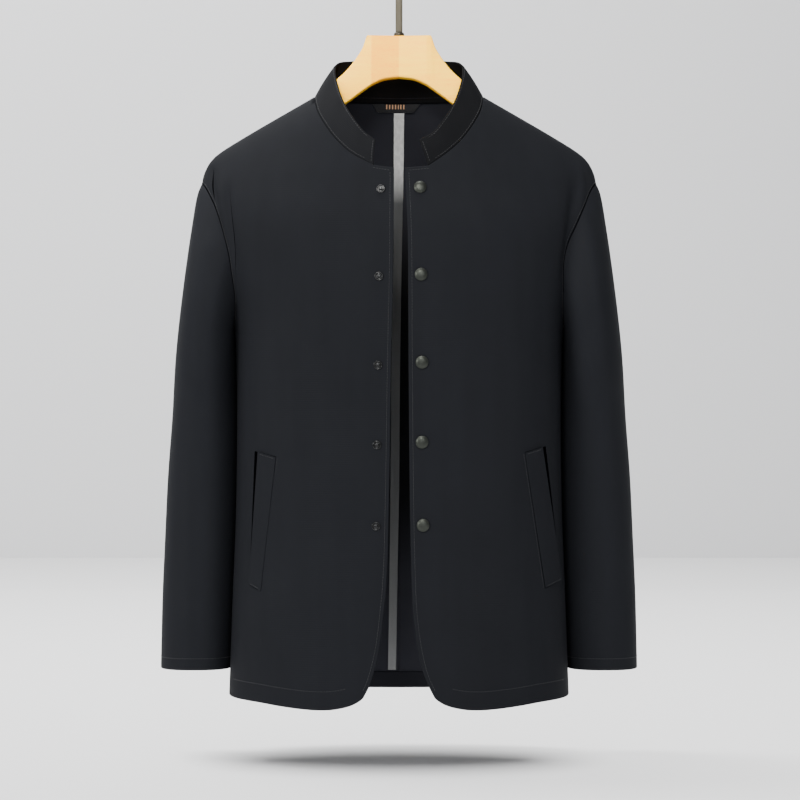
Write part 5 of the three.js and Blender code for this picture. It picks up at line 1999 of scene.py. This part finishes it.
@dataclass
class Hook:
    """The flat metal hook and the ferrule that it stands in."""

    shop: Workshop
    finishes: Finishes
    wood_top: float = 793.0
    width: float = 8.4
    thickness: float = 3.0
    edge: float = 0.7
    arc: float = 21.0
    first_bend: float = 12.0
    sweep: float = math.radians(268)
    outer: float = 6.3
    inner: float = 4.9
    height: float = 4.2
    segments: int = 48

    def make(self) -> None:
        """Makes both pieces."""
        self.make_ferrule()
        self.make_strip()

    def foot(self) -> float:
        """Where both pieces stand over the wood, from the hook's top."""
        return self.wood_top + SEAM_GAP - HOOK_TO_HEM

    def make_ferrule(self) -> None:
        """Makes the metal ring on the wood."""
        low, tall, r = self.foot(), self.height, self.outer
        outside = ((r - 0.3, low), (r, low + 0.3), (r, low + tall * 0.55), (r - 0.35, low + tall * 0.8))
        rim = ((self.inner + 0.6, low + tall), (self.inner, low + tall))
        radius, z = np.array([(self.inner, low), *outside, *rim]).T
        turns = np.linspace(0, TURN, self.segments, endpoint=False)[:, None]
        spots = np.broadcast_arrays(np.cos(turns) * radius, np.sin(turns) * radius, z[None])
        points = np.stack(spots, axis=2).reshape(-1, 3)
        index = np.arange(len(points)).reshape(self.segments, -1)
        index = np.concatenate([index, index[:, :1]], axis=1)
        faces = quads(np.concatenate([index, index[:1]]))
        if signed_volume(points, faces) < 0:
            faces = faces[:, ::-1]
        obj = self.shop.make("hook_ferrule_metal", points, faces, self.finishes.steel)
        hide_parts("hook_ferrule")

    def centre_line(self) -> list[tuple[float, float, float]]:
        """The strip's middle as (y, z, turn): straight up, bent back, then round over the rail."""
        centre = -self.arc + self.thickness / 2
        reach = self.arc + self.first_bend
        bend = math.acos(self.first_bend / reach)
        start = centre - math.sqrt(reach**2 - self.first_bend**2)
        line = [(0.0, z, 0.0) for z in np.linspace(self.foot(), start, 8)[:-1]]
        for turn in np.linspace(0, bend, 14):
            y = self.first_bend * (1 - math.cos(turn))
            line.append((y, start + self.first_bend * math.sin(turn), turn))
        for turn in np.linspace(bend, bend - self.sweep, 72)[1:]:
            line.append((self.arc * math.cos(turn), centre - self.arc * math.sin(turn), turn))
        return line

    def make_strip(self) -> None:
        """Makes the flat strip."""
        half = self.thickness / 2
        across, through = rounded_corners(self.width / 2, -half, half, self.edge, 4).T
        rings = [
            np.stack([across, y + math.cos(turn) * through, z - math.sin(turn) * through], axis=1)
            for y, z, turn in self.centre_line()
        ]
        obj = self.shop.loft("hanger_hook_steel", np.stack(rings), self.finishes.steel)
        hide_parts("hanger_hook")


class Lit(Enum):
    """What a lamp's light falls on."""

    EVERYTHING = "everything"
    PART = "lit_part"
    WOOD = "lit_wood"
    FLOOR = "lit_floor"


@dataclass(frozen=True)
class Lamp:
    """One soft light, in metres.

    Attributes:
        size: Its width and depth.
    """

    name: str
    place: Spot
    aim: Spot
    size: tuple[float, float]
    power: float
    colour: Colour = (1.0, 1.0, 1.0)
    lit: Lit = Lit.PART

    def make(self) -> Object:
        """Makes the lamp."""
        data = bpy.data.lights.new(self.name, "AREA")
        data.shape = "ELLIPSE"
        data.size, data.size_y = self.size
        data.energy = self.power
        data.color = self.colour
        obj = bpy.data.objects.new(self.name, data)
        obj.location = self.place
        obj.rotation_euler = (Vector(self.aim) - Vector(self.place)).to_track_quat("-Z", "Y").to_euler()
        bpy.context.scene.collection.objects.link(obj)
        return obj


@dataclass
class Studio:
    """Camera, lights, floor and wall, in metres.

    Attributes:
        floor_tones: The floor's tone round the jacket, and far behind it.
        wall_tones: Darkest and lightest tone of the wall.
        flag_size: Half of its width and depth.
        lamps: Three in front of the part, two on the wood, one over it, one on the floor, one on the wall.
    """

    camera_at: Spot = (0.0012, -3.2, -0.5316)
    frame_width: float = 0.96
    floor_z: float = -0.9576
    floor_tones: tuple[float, float] = (0.62, 0.6)
    floor_changes: float = 2.75
    wall_tones: tuple[Colour, Colour] = ((0.76, 0.76, 0.765), (0.8, 0.8, 0.805))
    wall_y: float = 4.0
    wide: float = 6.0
    wall_top: float = 4.0
    sky: Colour = (0.86, 0.87, 0.9)
    sky_strength: float = 0.68
    flag_at: Spot = (-0.002, -0.026, 0.9)
    flag_size: tuple[float, float] = (0.119, 0.057)
    lamps: tuple[Lamp, ...] = (
        Lamp("key", (-3.1, -2.3, 0.6), (0, 0, -0.45), (1.5, 1.5), 104, (1.0, 0.99, 0.97)),
        Lamp("front", (0.2, -3.6, 0.7), (0, 0, -0.45), (1.6, 1.6), 40, (0.97, 0.98, 1.0)),
        Lamp("neck", (-0.25, -1.5, 0.75), (0, 0, -0.1), (0.35, 0.35), 26, (1.0, 0.98, 0.94)),
        Lamp("hanger_light", (-0.5, -1.5, 0.5), (0, 0, 0), (0.35, 0.35), 42, (1.0, 0.88, 0.68), Lit.WOOD),
        Lamp("hanger_under", (0, -1.2, -0.75), (0, 0, -0.1), (0.3, 0.3), 9, (1.0, 0.9, 0.75), Lit.WOOD),
        Lamp("overhead", (-0.05, 0.1, 3.4), (-0.02, 0.03, -0.95), (1.0, 1.0), 110),
        Lamp("floor_light", (0, 0, 3.4), (0, 0, -0.95), (0.15, 0.2), 420, lit=Lit.FLOOR),
        Lamp("backdrop", (-1.6, 1.2, 2.6), (0.2, 4.0, 0.1), (2.4, 2.4), 242, lit=Lit.EVERYTHING),
    )

    def make(self) -> None:
        """Sets up the whole stage."""
        part = list(bpy.data.objects)
        self.camera()
        floor = self.floor()
        self.wall()
        self.surroundings()
        self.light(part, floor)

    def camera(self) -> None:
        """Places the camera."""
        data = bpy.data.cameras.new("camera")
        data.sensor_fit = "HORIZONTAL"
        data.angle = 2 * math.atan(self.frame_width / 2 / -self.camera_at[1])
        data.clip_end = 50
        obj = bpy.data.objects.new("camera", data)
        obj.location = self.camera_at
        obj.rotation_euler = (math.pi / 2, 0, 0)
        bpy.context.scene.collection.objects.link(obj)
        bpy.context.scene.camera = obj

    def floor(self) -> Object:
        """Makes the pale floor, a little darker far behind."""
        near, beyond = ((tone, tone, tone) for tone in self.floor_tones)
        paint = Paint("studio_floor", near, 0.7)
        _, depth, _ = paint.axes(paint.where("Object"))
        paint.into("Base Color", paint.between(((depth - self.floor_changes) * 16.0).clamped(), near, beyond))
        wide, z = self.wide, self.floor_z
        corners = [(-wide, -wide, z), (wide, -wide, z), (wide, self.wall_y, z), (-wide, self.wall_y, z)]
        return self.surface("floor", corners, paint.material)

    def wall(self) -> Object:
        """Makes the pale wall."""
        paint = Paint("studio_wall", self.wall_tones[0], 0.85)
        cloud = paint.noise(paint.where("Object"), 0.6, 2)
        paint.into("Base Color", paint.between(cloud, *self.wall_tones))
        wide, y, low, high = self.wide, self.wall_y, self.floor_z, self.wall_top
        corners = [(-wide, y, low), (wide, y, low), (wide, y, high), (-wide, y, high)]
        return self.surface("wall", corners, paint.material)

    @staticmethod
    def surface(name: str, corners: Sequence[Spot], material: Material | None = None) -> Object:
        """Makes one flat piece of the stage, with corners in order."""
        mesh = bpy.data.meshes.new(name)
        mesh.from_pydata(corners, [], [tuple(range(len(corners)))])
        if material is not None:
            mesh.materials.append(material)
        obj = bpy.data.objects.new(name, mesh)
        bpy.context.scene.collection.objects.link(obj)
        return obj

    def surroundings(self) -> None:
        """Sets the light that comes from all round."""
        world = bpy.data.worlds.new("studio")
        world.use_nodes = True
        background = world.node_tree.nodes["Background"]
        background.inputs["Color"].default_value = (*self.sky, 1)
        background.inputs["Strength"].default_value = self.sky_strength
        bpy.context.scene.world = world

    def light(self, part: Sequence[Object], floor: Object) -> None:
        """Makes the lamps, and links each to what it lights.

        Args:
            part: The objects of the jacket and the hanger.
            floor: The floor, which only the card shades from its lamp.
        """
        lit = {
            Lit.PART: self.only(Lit.PART.value, part),
            Lit.WOOD: self.only(Lit.WOOD.value, [bpy.data.objects["hanger_wood_beech"]]),
            Lit.FLOOR: self.only(Lit.FLOOR.value, [floor]),
        }
        card = self.only("floor_flag", [self.flag()])
        for lamp in self.lamps:
            linking = lamp.make().light_linking
            if lamp.lit in lit:
                linking.receiver_collection = lit[lamp.lit]
            if lamp.lit is Lit.FLOOR:
                linking.blocker_collection = card

    def flag(self) -> Object:
        """The oval card high above the jacket, whose soft shadow lies on the floor under it."""
        (x, y, z), (wide, deep) = self.flag_at, self.flag_size
        turns = np.linspace(0, TURN, 48, endpoint=False)
        rim = [(x + wide * math.cos(turn), y + deep * math.sin(turn), z) for turn in turns]
        card = self.surface("floor_flag", rim)
        card.visible_camera = False
        return card

    @staticmethod
    def only(name: str, objects: Sequence[Object]) -> bpy.types.Collection:
        """A named collection of a few objects, for linking a lamp to them."""
        collection = bpy.data.collections.new(name)
        for obj in objects:
            collection.objects.link(obj)
        return collection


def main() -> None:
    """Builds the scene over the frame, and reports each piece."""
    logging.basicConfig(level=logging.INFO, format="%(name)s: %(message)s")
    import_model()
    shop = Workshop()
    finishes = Finishes()
    torso = Torso()
    panels = Panels(shop, finishes, torso)
    sleeves = Sleeves(shop, finishes, panels)
    collar = Collar(shop, finishes, panels)
    welts = Welts(shop, finishes, torso)
    inside = InsideBack(shop, finishes, panels)
    snaps = Snaps(shop, finishes, torso)
    hanger = Hanger(shop, finishes)
    hook = Hook(shop, finishes)
    stitching = Stitching(shop, finishes, panels, sleeves, collar, welts)
    for assembly in (panels, sleeves, collar, welts, inside, snaps, hanger, hook, stitching):
        done = len(shop.made)
        assembly.make()
        for piece in shop.made[done:]:
            log.info("%s: %s, %d faces", type(assembly).__name__, piece.name, len(piece.data.polygons))
    Studio().make()


if __name__ == "__main__":
    main()
